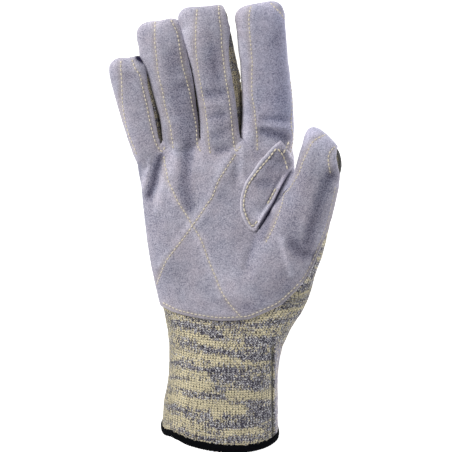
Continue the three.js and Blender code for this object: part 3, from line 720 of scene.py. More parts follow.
def add_piece(name, mesh, replaces=()):
    """A finished piece: its place is in its mesh, and it rides on the glove's one body."""
    made = linked(name, mesh)
    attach(made, "root")
    if replaces:
        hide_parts(*replaces)


def opened(mesh):
    """A mesh as a shape that can be worked on."""
    shape = bmesh.new()
    shape.from_mesh(mesh)
    return shape


def closed(shape, name):
    """Turns a shape back into a mesh, and frees it."""
    mesh = bpy.data.meshes.new(name)
    shape.to_mesh(mesh)
    shape.free()
    return mesh


def dressed(shape, name, material):
    """Turns a shape into a smooth mesh with a material, and frees it."""
    mesh = closed(shape, name)
    mesh.materials.append(material)
    mesh.polygons.foreach_set("use_smooth", np.full(len(mesh.polygons), True))
    mesh.update()
    return mesh


def pour(shape, into):
    """Adds a shape to another one, and frees it."""
    carrier = closed(shape, "carrier")
    into.from_mesh(carrier)
    bpy.data.meshes.remove(carrier)


def modified(mesh, kind, **settings):
    """A mesh as one modifier leaves it."""
    holder = linked("holder", mesh)
    modifier = holder.modifiers.new("step", kind)
    for name, value in settings.items():
        setattr(modifier, name, value)
    made = bpy.data.meshes.new_from_object(holder.evaluated_get(bpy.context.evaluated_depsgraph_get()))
    bpy.data.objects.remove(holder)
    return made


def remeshed(shape, voxel):
    """A closed shape as an even mesh of small squares."""
    return modified(closed(shape, "even"), "REMESH", mode="VOXEL", voxel_size=voxel * MM)


def hanging_together(first, neighbours):
    """Everything that can be reached from a first element by way of its neighbours."""
    part, waiting = {first}, [first]
    while waiting:
        for other in neighbours(waiting.pop()):
            if other not in part:
                part.add(other)
                waiting.append(other)
    return part


def past_hem(hand):
    """How far points lie up the cuff from the plane of its end."""
    return (hand - HEM_POINT) @ HEM_NORMAL


def hem_sag(hand):
    """How the cuff's end droops, unevenly across."""
    sides = smoothstep(SIDE_DROOP["from"], SIDE_DROOP["full"], np.abs(hand[:, 0] - HEM["mid"]))
    lower = SIDE_DROOP["share"] * np.maximum(SIDE_DROOP["below"] - hand[:, 2], 0) * sides
    drop = smoothstep(DROOP_REACH, 0, past_hem(hand)) * (np.interp(hand[:, 0], *zip(*HEM_DROOP)) + lower)
    return np.stack([0 * drop, -drop, 0 * drop], -1)


def knit_shell(outermost):
    """One side of the knit's wall from its solid, the outer or the inner, with the cuff drawn out past
    its hem and closed."""
    shell = opened(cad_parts["knit_glove"].data)
    bmesh.ops.remove_doubles(shell, verts=shell.verts, dist=WELD)
    height = {v: past_hem(np.array(v.co) / MM - HAND_ORIGIN) for v in shell.verts}
    rim = [f for f in shell.faces if all(abs(height[v]) < ON_PLANE for v in f.verts)]
    bmesh.ops.delete(shell, geom=rim, context="FACES")
    outer = hanging_together(max(shell.verts, key=lambda v: v.co.y),
                             lambda v: (end for edge in v.link_edges for end in edge.verts))
    drop = [v for v in shell.verts if (v in outer) != outermost]
    bmesh.ops.delete(shell, geom=drop, context="VERTS")
    rim = [e for e in shell.edges if e.is_boundary]
    spare = bmesh.ops.extrude_edge_only(shell, edges=rim)["geom"]
    moved = [v for v in spare if isinstance(v, bmesh.types.BMVert)]
    bmesh.ops.translate(shell, verts=moved, vec=Vector(-HEM_NORMAL * CUFF_SPARE * MM))
    end = [e for e in spare if isinstance(e, bmesh.types.BMEdge)]
    bmesh.ops.edgeloop_fill(shell, edges=end)
    bmesh.ops.recalc_face_normals(shell, faces=shell.faces)
    return shell


@lru_cache(maxsize=None)
def skin(voxel):
    """The knit's outer face, fine and smooth, with its points and its smoothed normals."""
    mesh = remeshed(knit_shell(True), voxel)
    points = relaxed(mesh_points(mesh), mesh, int(SKIN_ROUNDS / voxel**1.3))
    hand = points - HAND_ORIGIN
    weight = np.zeros(len(points))
    outward = np.zeros(len(points))
    for _, centre, wide, out in FLAWS:
        near = fade(np.linalg.norm(hand - centre, axis=1), wide)
        weight = np.maximum(weight, near)
        outward += out * near
    # Below the fingers, and down the little finger's side, the cloth stands a little wider
    wider = np.maximum(smoothstep(*WIDER["below"], hand[:, 1]), smoothstep(*WIDER["side"], hand[:, 0]))
    outward += WIDER["out"] * wider * (1 - np.abs(mesh_normals(mesh)[:, 2]))
    for _, centre, wide, out in FITTINGS:
        outward += out * fade(np.linalg.norm(hand - centre, axis=1), wide)
    points = relaxed(points, mesh, int(FLAW_ROUNDS / voxel**1.3), pull=0.5, push=0, weight=weight)
    set_points(mesh, points)
    points = points + mesh_normals(mesh) * outward[:, None]
    set_points(mesh, points)
    normals = relaxed(mesh_normals(mesh), mesh, int(NORMAL_ROUNDS / voxel), pull=0.5, push=0)
    return mesh, points, unit_rows(normals)


def finger_frame(finger):
    """A finger's direction seen from above, and the direction to its right."""
    lean = math.radians(finger["lean"])
    ahead = np.array([-math.sin(lean), math.cos(lean)])
    return ahead, np.array([ahead[1], -ahead[0]])


def finger_places(hand):
    """For each finger, how far points lie along it and across it, and which finger each belongs to."""
    found = {}
    gaps = []
    for name, finger in FINGERS.items():
        ahead, right = finger_frame(finger)
        away = hand[:, :2] - finger["base"]
        along, across = away @ ahead, away @ right
        share = np.clip(along / finger["long"], 0, 1)
        across, half = across - between(finger["mid"], share), between(finger["half"], share)
        found[name] = {"along": along, "across": across, "share": share, "half": half}
        gaps.append(np.abs(across) - half)
    return found, np.argmin(np.stack(gaps), 0)


def leather_cover(points, normals):
    """How far inside the leather palm's outline points lie, in millimetres, negative outside it."""
    hand = points - HAND_ORIGIN
    place = seen(points)
    low = np.interp(hand[:, 1], [PALM_LOW["wrist_y"], PALM_LOW["knuckle_y"]],
                    [PALM_LOW["at_wrist"], PALM_LOW["at_knuckle"]])
    cover = np.minimum(inside(PALM_OUTLINE, place), hand[:, 2] - low)
    cover = np.minimum(cover, -inside(to_plane(GAP_END), place))
    thumb_low = THUMB_LOW["at"] + (hand[:, 1] - THUMB_LOW["from_y"]) * THUMB_LOW["rise"]
    thumb = np.minimum(inside(THUMB_OUTLINE, place), (hand[:, 2] - thumb_low) * THUMB_LOW["steep"])
    cover = np.maximum(cover, thumb)
    found, owner = finger_places(hand)
    for i, (name, finger) in enumerate(FINGERS.items()):
        on = found[name]
        edge = FREE_EDGES[name]
        outline = [*edge, *((x - FAR_LEFT, y) for x, y in (edge[-1], edge[0]))]
        low = between(finger["low"], on["share"] ** TIP_CURVE)
        strip = np.minimum(inside(outline, place), hand[:, 2] - low)
        strip = np.minimum(strip, on["along"] - STRIP_START)
        mine = (owner == i) & (on["along"] > STRIP_START) & (hand[:, 1] > STRIPS_FROM)
        # A side that leans against this finger from the left is its neighbour's
        mine &= ((on["across"] > LEANING["across"] * on["half"]) | (normals[:, 0] < LEANING["facing"])
                 | (on["along"] < LEANING["along"]))
        if name == "index":
            mine &= hand[:, 0] < STRIPS_RIGHT
        cover[mine] = np.maximum(cover[mine], strip[mine])
    return cover


def palm_seams():
    """The seams of the leather palm as plane routes, with the ones that follow its edges."""
    routes = seams_of(SEAMS)
    edge = smooth_route(PALM_OUTLINE[4:12] + THUMB_OUTLINE[3:13])
    gap = np.interp(edge[:, 0], [30, 50], [EDGE_SEAM_INSIDE, THUMB_SEAM_INSIDE])
    edge = beside(edge, gap[:, None])
    routes["lower_edge"], routes["thumb_edge"] = edge[edge[:, 0] < 42], edge[edge[:, 0] >= 42]
    return routes


def seam_relief(place, routes, pitch):
    """How deep thread pulls the leather down at places, and how near the thread is, from 0 to 1."""
    deep = np.zeros(len(place))
    near = np.zeros(len(place))
    for route in routes.values():
        close = close_to(route, place, 7)
        gap, along, _ = nearest_on(route[::3] if len(route) > 12 else route, place[close])
        ends = smoothstep(*SEAM_END, along) * smoothstep(*SEAM_END, run_of(route)[-1] - along)
        # Deepest at each stitch, with the leather raised a little at both sides
        pinch = 0.5 + 0.5 * np.cos(2 * np.pi * along / pitch)
        groove = (GROOVE["deep"] + GROOVE["pinch"] * pinch) * fade(gap, GROOVE["wide"])
        groove = (groove - GROOVE["deep"] * fade(gap - GROOVE["ridge"], GROOVE["ridge_wide"])) * ends
        deep[close] = np.where(np.abs(groove) > np.abs(deep[close]), groove, deep[close])
        near[close] = np.maximum(near[close], fade(gap, GROOVE["groove_shade"]) * ends)
    return deep, near


def fold_relief(place):
    """How deep the leather's folds lie at places, and how much painted shade and light lies there."""
    deep = np.zeros(len(place))
    tone = np.zeros(len(place))
    for _, pixels, wide, depth, darker in FOLDS:
        strong = stroke(pixels, wide, place)
        deep += depth * strong
        tone += darker * strong
    return deep, np.clip(tone, *TONE_RANGE)


def trim(sheet, cover):
    """Cuts a sheet along the line where its cover layer is nought and drops what lies outside."""
    for edge in sheet.edges:
        a, b = edge.verts
        if a[cover] * b[cover] < 0:
            share = a[cover] / (a[cover] - b[cover])
            if share < NEAR_CORNER:
                a.co = a.co.lerp(b.co, share)
                a[cover] = 0.0
            elif share > 1 - NEAR_CORNER:
                b.co = b.co.lerp(a.co, 1 - share)
                b[cover] = 0.0
    crossing = [e for e in sheet.edges if e.verts[0][cover] * e.verts[1][cover] < 0]
    for edge in crossing:
        a, b = edge.verts
        _, cut = bmesh.utils.edge_split(edge, a, a[cover] / (a[cover] - b[cover]))
        cut[cover] = 0.0
    on_line = [v for v in sheet.verts if v[cover] == 0.0]
    bmesh.ops.connect_verts(sheet, verts=on_line)
    outside = [f for f in sheet.faces
               if min(v[cover] for v in f.verts) < 0 or max(v[cover] for v in f.verts) <= 0]
    bmesh.ops.delete(sheet, geom=outside, context="FACES")


def drop_scraps(sheet, fewest):
    """Drops the loose parts of a sheet that have too few faces."""
    left = set(sheet.faces)
    while left:
        part = hanging_together(left.pop(), lambda face: (f for edge in face.edges for f in edge.link_faces))
        left -= part
        if len(part) < fewest:
            bmesh.ops.delete(sheet, geom=list(part), context="FACES")


def sewn_layer(name, voxel, cover_of, inner, outer, relief_of, material):
    """A layer of leather cut from the skin: its inner face, its outer face with relief, and a soft rim."""
    mesh, points, normals = skin(voxel)
    sheet = opened(mesh)
    layers = sheet.verts.layers
    cover, groove, rim, tone = (layers.float.new(layer) for layer in ("cover", "groove", "rim", "tone"))
    lean = layers.float_vector.new("lean")
    for v, c, n in zip(sheet.verts, cover_of(points, normals), normals):
        v[cover] = c
        v[lean] = n
    far = [v for v in sheet.verts if v[cover] < -TRIM_SPARE]
    bmesh.ops.delete(sheet, geom=far, context="VERTS")
    trim(sheet, cover)
    drop_scraps(sheet, FEWEST_FACES)
    grown = bmesh.ops.extrude_face_region(sheet, geom=sheet.faces[:], use_keep_orig=True)["geom"]
    top = [v for v in grown if isinstance(v, bmesh.types.BMVert)]
    top_set = set(top)
    bottom = [v for v in sheet.verts if v not in top_set]
    base = np.array([v.co for v in top]) / MM
    leaning = unit_rows(np.array([v[lean] for v in top]))
    from_edge = np.array([v[cover] for v in top])
    deep, near, darker = relief_of(base, leaning, from_edge)
    rounding = 1 - np.clip(from_edge, 0, ROUNDED) / ROUNDED
    full = between((EDGE_SHARE, 1.0), np.sqrt(1 - rounding**2))
    placed = base + leaning * (inner + (outer - inner) * full - deep)[:, None]
    # The rim layer makes the cut edge paler, partly the raw leather's own colour and partly a painted
    # highlight
    for v, p, d, c, t in zip(top, placed * MM, near, from_edge, darker):
        v.co = p
        v[groove] = d
        v[tone] = t
        v[rim] = max(0.0, 1 - c / PALE_RIM)
    for v in bottom:
        v.co = v.co + Vector(v[lean]).normalized() * inner * MM
        v[rim] = 1.0
    bmesh.ops.recalc_face_normals(sheet, faces=sheet.faces)
    if sheet.calc_volume(signed=True) < 0:
        bmesh.ops.reverse_faces(sheet, faces=sheet.faces)
    return dressed(sheet, name, material)


def palm_relief(base, leaning, from_edge):
    """How deep the palm's leather lies, how near thread is, and its painted shade and light."""
    place = seen(base)
    routes = {**palm_seams(), **seams_of(PATCH_SEAMS)}
    upward = smoothstep(*FOLDS_UPWARD, leaning[:, 2])
    deep, near = seam_relief(place, routes, bpy.context.scene.glove.stitch_pitch / MM)
    folds, tone = fold_relief(place)
    deep = (deep + folds) * upward + unevenness(base, PALM_UNEVEN)
    # So that no hollow reaches through the leather
    deep = np.where(deep > DEEPEST, DEEPEST + LEVELLING * np.tanh((deep - DEEPEST) / LEVELLING), deep)
    return deep, near * upward, tone * smoothstep(*PAINTED_SHADE_UPWARD, leaning[:, 2])


def leaf_cover(points, normals):
    """How far inside the leaf-shaped patch's outline points lie, negative outside it."""
    cover = inside(smooth_route([*LEAF_OUTLINE, LEAF_OUTLINE[0]]), seen(points))
    on_top = (normals[:, 2] > LEAF_LEAST["upward"]) & (points[:, 2] > LEAF_LEAST["height"])
    return np.where(on_top, cover, OUTSIDE)


def leaf_relief(base, leaning, from_edge):
    """How deep the patch's leather lies, how near thread is, and its painted shade and light."""
    place = seen(base)
    deep, near = seam_relief(place, seams_of(PATCH_SEAMS), bpy.context.scene.glove.stitch_pitch / MM)
    folds, tone = fold_relief(place)
    deep = deep * LEAF_SEAM["groove"] + folds
    # The right edge isn't sewn down: it is turned to a roll that stands off the palm, with a painted
    # highlight on it
    edge = pixel_route(LEAF_FREE_EDGE)
    gap, along, _ = nearest_on(edge, place)
    middle = smoothstep(*TURNED["start"], along) * smoothstep(*TURNED["stop"], run_of(edge)[-1] - along)
    by_edge = middle * fade(gap, TURNED["wide"])
    roll = fade(gap - LEAF_ROLL["at"], LEAF_ROLL["wide"]) * middle
    # The hollow beside the roll, with a painted shadow in it, runs out towards the leaf's foot
    ends = middle * smoothstep(*HOLLOW_END, along)
    hollow = fade(gap - LEAF_HOLLOW["at"], LEAF_HOLLOW["wide"]) * ends
    shadow = fade(gap - LEAF_HOLLOW["dark_at"], LEAF_HOLLOW["dark_wide"]) * ends
    deep += LEAF_HOLLOW["deep"] * hollow - LEAF_ROLL["high"] * roll
    tone += LEAF_HOLLOW["dark"] * shadow - LEAF_ROLL["light"] * roll
    # Painted highlight along the raised border, painted shadow in the slit at the turned edge and painted
    # shade beside the thread
    border = smoothstep(*LEAF_BORDER_LIGHT["from"], from_edge) * (1 - by_edge)
    cut = smoothstep(*LEAF_SLIT_SHADOW["from"], from_edge) * by_edge
    tone += LEAF_SEAM["dark"] * near - LEAF_BORDER_LIGHT["light"] * border + LEAF_SLIT_SHADOW["dark"] * cut
    deep += LEAF_SEAM["sink"] * near + unevenness(base, LEAF_UNEVEN)
    return deep, near * LEAF_SEAM["groove_shade"], tone


def laid_route(route, trees):
    """Where the camera sees a plane route on surfaces, as points in metres and their normals."""
    eye = Vector(EYE * MM)
    places, faces = [], []
    for place in route:
        hits = [tree.ray_cast(eye, sight(place)) for tree in trees]
        hits = [hit for hit in hits if hit[0] is not None]
        if hits:
            spot, normal, _, _ = min(hits, key=lambda found: found[3])
            if normal.z >= STITCH_UPWARD:
                places.append(spot)
                faces.append(normal)
    return np.array(places), np.array(faces)


def lay_thread(name, surfaces, routes, pitch, long, thick, material):
    """Stitches as small grains of thread along routes, laid on what carries them."""
    trees = []
    for surface in surfaces:
        flat = opened(surface)
        trees.append(BVHTree.FromBMesh(flat))
        flat.free()
    thread = bmesh.new()
    for seam_name, route in routes.items():
        thin = thick * WORN_SEAMS.get(seam_name, 1.0)
        places, faces = laid_route(route, trees)
        if len(places) < 3:
            continue
        run = run_of(places)
        count = max(1, round(run[-1] / pitch))
        middle = (np.arange(count) + 0.5) / count
        reach = STITCH_REACH / count
        spots, normals, after, before = (
            read_off(values, run, share * run[-1]) for values, share in (
                (places, middle), (faces, middle), (places, middle + reach), (places, middle - reach)))
        seam = bmesh.new()
        for spot, direction, normal in zip(spots, after - before, normals):
            # A stitch that would reach across a gap is left out
            if not 1e-6 < np.linalg.norm(direction) < LONGEST_STITCH * pitch:
                continue
            direction = Vector(direction).normalized()
            side = Vector(normal).cross(direction).normalized()
            up = direction.cross(side).normalized()
            turn = Matrix((side, up, direction)).transposed().to_4x4()
            shape = Matrix.Diagonal((thin / 2, thin / 2, long / 2, 1))
            place = Matrix.Translation(Vector(spot) + up * thin * STITCH_LIFT)
            bmesh.ops.create_uvsphere(seam, u_segments=8, v_segments=6, radius=1.0,
                                      matrix=place @ turn @ shape)
        pour(seam, thread)
    return dressed(thread, name, material)


def girth(aspect):
    """How far round a squared ellipse each angle lies, as a share from -0.5 to 0.5 from its back."""
    angle = np.linspace(-np.pi, np.pi, 241)
    radius = (np.abs(np.cos(angle)) ** SQUARENESS + np.abs(np.sin(angle)) ** SQUARENESS) ** (-1 / SQUARENESS)
    run = run_of(np.stack([radius * np.sin(angle), -aspect * radius * np.cos(angle)], -1))
    return angle, run / run[-1] - 0.5


def share_round(across, up, half, rise):
    """The share of the girth from the back's middle at which points lie round a tube."""
    angle = np.arctan2(across / half, -up / rise)
    low, high = 0.25, 1.0
    flat, round_ = (np.interp(angle, *girth(aspect)) for aspect in (low, high))
    mix = np.clip((rise / half - low) / (high - low), 0, 1) ** 0.6
    return flat * (1 - mix) + round_ * mix


def on_tube(x, y, z):
    """The wale at points round the hand's tube, and how far out they lie, 1 being on the tube."""
    at = {key: np.interp(y, TUBE["along"], TUBE[key]) for key in ("mid", "half", "lift", "rise")}
    wales = np.interp(y, WALES_GROW, [CUFF_WALES, HAND_WALES])
    across, up = x - at["mid"], z - at["lift"]
    out = np.abs(across / at["half"]) ** SQUARENESS + np.abs(up / at["rise"]) ** SQUARENESS
    return share_round(across, up, at["half"], at["rise"]) * wales, out ** (1 / SQUARENESS)


def wale_at(*spot):
    """The wale at one spot on the hand's tube."""
    return on_tube(*(np.array([float(part)]) for part in spot))[0][0]


def knit_rows(points):
    """The wale and the course at each point of the knit, counted as they were knitted."""
    hand = points - HAND_ORIGIN
    x, y, z = hand.T
    wale, out = on_tube(x, y, z)
    # Courses lie along the slanted hem and straighten towards the palm
    slant = np.interp(y, SLANT_EASES, [1.0, 0.0])
    course = (y + slant * ((z - HEM_POINT[2]) * COURSE_SLANT["z"] + x * COURSE_SLANT["x"])) / COURSE
    # The thumb, where the skin stands clear of the hand's own tube
    line = smooth_route(THUMB_LINE, COARSE_STEP)
    _, along, _ = nearest_on(line[:, :2], hand[:, :2])
    run = run_of(line[:, :2])
    centre = read_off(line, run, along)
    ahead = unit_rows(read_off(np.gradient(line[:, :2], axis=0), run, along))
    away = hand - centre
    across = away[:, 0] * ahead[:, 1] - away[:, 1] * ahead[:, 0]
    beyond = away[:, 0] * ahead[:, 0] + away[:, 1] * ahead[:, 1]
    on_thumb = share_round(across, away[:, 2], *THUMB_OVAL) * THUMB_WALES + wale_at(*THUMB_BACK)
    thumb = smoothstep(*THUMB_CLEAR, out) * (x > THUMB_AREA["right_of"]) * (y < THUMB_AREA["below"])
    wale = wale * (1 - thumb) + on_thumb * thumb
    course = course * (1 - thumb) + (along + beyond - THUMB_FROM) / COURSE * thumb
    found, owner = finger_places(hand)
    for i, (name, finger) in enumerate(FINGERS.items()):
        on = found[name]
        lift = between(finger["lift"], on["share"] ** TIP_CURVE)
        share = share_round(on["across"], z - lift, on["half"], between(finger["height"], on["share"]) / 2)
        base = wale_at(finger["base"][0] + finger["mid"][0], *FINGER_BACK)
        mine = (owner == i) & (y > FINGERS_ABOVE) & (thumb < 0.5)
        blend = smoothstep(*FINGER_TAKES_OVER, on["along"]) * mine
        wale = wale * (1 - blend) + (share * FINGER_WALES + base) * blend
        course = course * (1 - blend) + (on["along"] + finger["base"][1]) / COURSE * blend
    return wale, course


def finger_swell(hand, normals):
    """How far the knit swells between the fingers, where they press against each other below the
    leather, and how much painted shade darkens it there and along the listed knit shades."""
    found, owner = finger_places(hand)
    swell, shade = np.zeros(len(hand)), np.zeros(len(hand))
    for i, (name, finger) in enumerate(FINGERS.items()):
        on = found[name]
        ahead, right = finger_frame(finger)
        sideways = normals[:, :2] @ right
        # The outermost sides press against nothing
        if name == "little":
            sideways = np.maximum(sideways, 0)
        if name == "index":
            sideways = np.minimum(sideways, 0)
        crotch = (normals[:, :2] @ ahead) * smoothstep(*SWELL["crotch"], on["along"])
        facing = np.maximum(np.abs(sideways), crotch)
        top = between(finger["lift"], on["share"] ** TIP_CURVE)
        root, reach = smoothstep(*SWELL["root"], on["along"]), finger["reach"]
        along = root * smoothstep(reach, reach - SWELL["end"], on["along"])
        lower = smoothstep(*SWELL["below"], hand[:, 2] - top) * smoothstep(*SWELL["above"], hand[:, 2])
        mine = owner == i
        swell[mine] = (SWELL["out"] * along * lower * smoothstep(*SWELL["facing"], facing))[mine]
        # Painted shade on the knit's sides between the fingers
        side = root * smoothstep(*BETWEEN_SHADE["facing"], facing) * smoothstep(*BETWEEN_SHADE["above"], hand[:, 2])
        shade[mine] = (finger["painted_dark"] * side)[mine]
    # Painted shade along the listed knit shades
    place = seen(hand + HAND_ORIGIN)
    upper = smoothstep(*SHADED_UPWARD, normals[:, 2])
    for pixels, wide, darker in KNIT_SHADES:
        shade = np.maximum(shade, darker * stroke(pixels, wide, place) * upper)
    return swell, shade


def yarn_bands(points, normals):
    """How much greyer the cuff's yarn is at points, from its planned bands, and how far those bands rule."""
    place = seen(points)
    top = smoothstep(*BANDS_UPWARD, normals[:, 2])
    grey = sum(share * stroke(pixels, wide, place) for pixels, wide, share in YARN_BANDS)
    return grey * top, top * smoothstep(*BANDS_BELOW, place[:, 1])


def cuff_crease(points, normals):
    """The crease down the cuff's thumb side: how deep it lies, how dark its painted shade is there and
    how light the painted highlight on the knit beyond it."""
    line = pixel_route(CUFF_CREASE)
    gap, along, side = nearest_on(line, seen(points))
    ends = smoothstep(*CREASE["start"], along) * smoothstep(*CREASE["upward"], normals[:, 2])
    crease_and_shade = fade(gap, CREASE["wide"]) * ends
    # Painted highlight on the knit beyond the crease
    beyond = (side > 0) * smoothstep(*CREASE["from"], gap) * smoothstep(*CREASE["to"], gap) * ends
    return CREASE["deep"] * crease_and_shade, CREASE["dark"] * crease_and_shade - CREASE["light"] * beyond


def add_node(tree, kind, inputs=(), out=0, **settings):
    """Adds a node with its settings and its inputs, listed or by name, each a value or another node's
    output, and gives back one of its own outputs, or with None all of them."""
    made = tree.nodes.new("ShaderNode" + kind)
    for name, value in settings.items():
        setattr(made, name, value)
    for socket, value in inputs.items() if isinstance(inputs, dict) else enumerate(inputs):
        if isinstance(value, bpy.types.NodeSocket):
            tree.links.new(value, made.inputs[socket])
        else:
            made.inputs[socket].default_value = value
    return made.outputs if out is None else made.outputs[out]


def emptied(owner):
    """Empties a material's or the world's node tree, and gives back what adds nodes to it."""
    owner.use_nodes = True
    owner.node_tree.nodes.clear()
    return partial(add_node, owner.node_tree)


def suede(name, seed):
    """Split leather, chrome-tanned, dyed blue-grey and napped: a matte, short, felted pile with cloudy
    lighter and darker patches where the nap lies another way, and a soft sheen at the edges. Painted
    shade and painted highlights come from its tone layer."""
    settings = bpy.context.scene.glove
    material = bpy.data.materials.new(name)
    node = emptied(material)
    own = node("TexCoord", out="Object")
    place = node("Mapping", [own, (seed * 0.37, seed * 0.11, 0)])
    tone, rim, groove = (node("Attribute", attribute_name=layer, out="Fac")
                         for layer in ("tone", "rim", "groove"))
    # Each kind of patch: its size in millimetres, its octaves and its roughness
    patches, mottle, grain, fibre, dye = (
        node("TexNoise", {"Vector": place, "Scale": 1 / (size * MM), "Detail": octaves, "Roughness": rough})
        for size, octaves, rough in (
            (24, 2, 0.55), (7, 3, 0.55), (1.5, 3, 0.7), (0.66, 1, 0.6), (13, 2, 0.55)))
    # Where painted shade darkens the leather, its fibres' speckle is stronger
    coarse = node("Math", [tone, 0.0], operation="MAXIMUM")
    coarse = node("Math", [coarse, 4.4, 1.9], operation="MULTIPLY_ADD")
    share = 0.55
    for patch, weight in ((patches, 0.6), (mottle, 0.45), (grain, 0.8), (fibre, coarse)):
        patch = node("Math", [patch, 0.5], operation="SUBTRACT")
        share = node("Math", [patch, weight, share], operation="MULTIPLY_ADD")
    colour = node("Mix", {0: node("Clamp", [share]), 6: tuple(settings.leather_dark),
                          7: tuple(settings.leather_light)}, data_type="RGBA", out=2)
    spot = node("SeparateXYZ", [own], out=None)
    uneven, shade_share, right, far = (node("MapRange", [value, low, high]) for value, low, high in (
        (dye, 0.35, 0.65), (tone, 0.08, 0.34), (spot[0], 8 * MM, 34 * MM), (spot[1], 44 * MM, 62 * MM)))
    bluer = node("Math", [right, far], operation="MULTIPLY")
    # Dye takes unevenly, leaning to blue or to pink; painted shade is cooler; the index finger is bluest
    pinkish, painted_shade_blue, index_blue = (
        node("Mix", {0: share, 6: first, 7: second}, data_type="RGBA", out=2) for share, first, second in (
            (uneven, (0.975, 0.997, 1.02, 1.0), (1.015, 0.99, 0.995, 1.0)),
            (shade_share, WHITE, (0.965, 0.985, 1.03, 1.0)), (bluer, WHITE, (0.94, 0.975, 1.08, 1.0))))
    # Painted shade and painted highlights from the tone layer
    painted_shading = node("CombineColor", [node("Math", [tone, -part, 1.0], operation="MULTIPLY_ADD")
                                   for part in (1.02, 1.03, 0.97)])
    # A paler cut edge and inner face, partly the raw leather's own colour and partly a painted highlight
    rim = node("Math", [rim, 0.55], operation="MULTIPLY")
    # Browner painted shade in the seam's groove beside the thread
    groove = node("Math", [groove, 0.38], operation="MULTIPLY")
    for blend, share, over in (
            ("MULTIPLY", 1.0, pinkish), ("MIX", rim, linear("#CBC6D1")), ("MULTIPLY", 1.0, painted_shading),
            ("MULTIPLY", 1.0, painted_shade_blue), ("MULTIPLY", 1.0, index_blue),
            ("MIX", groove, linear("#A89C93"))):
        colour = node("Mix", {0: share, 6: colour, 7: over}, data_type="RGBA", blend_type=blend, out=2)
    height = node("Math", [fibre, 0.7], operation="MULTIPLY")
    for patch, weight in ((grain, 0.6), (mottle, 0.4)):
        height = node("Math", [patch, weight, height], operation="MULTIPLY_ADD")
    shader = node("BsdfPrincipled", {
        "Base Color": colour, "Roughness": 0.92, "Specular IOR Level": 0.2, "Sheen Weight": 0.2,
        "Sheen Roughness": 0.45,
        "Normal": node("Bump", {"Strength": 0.55, "Distance": 0.4 * MM, "Height": height})})
    node("OutputMaterial", {"Surface": shader}, out=None)
    return material


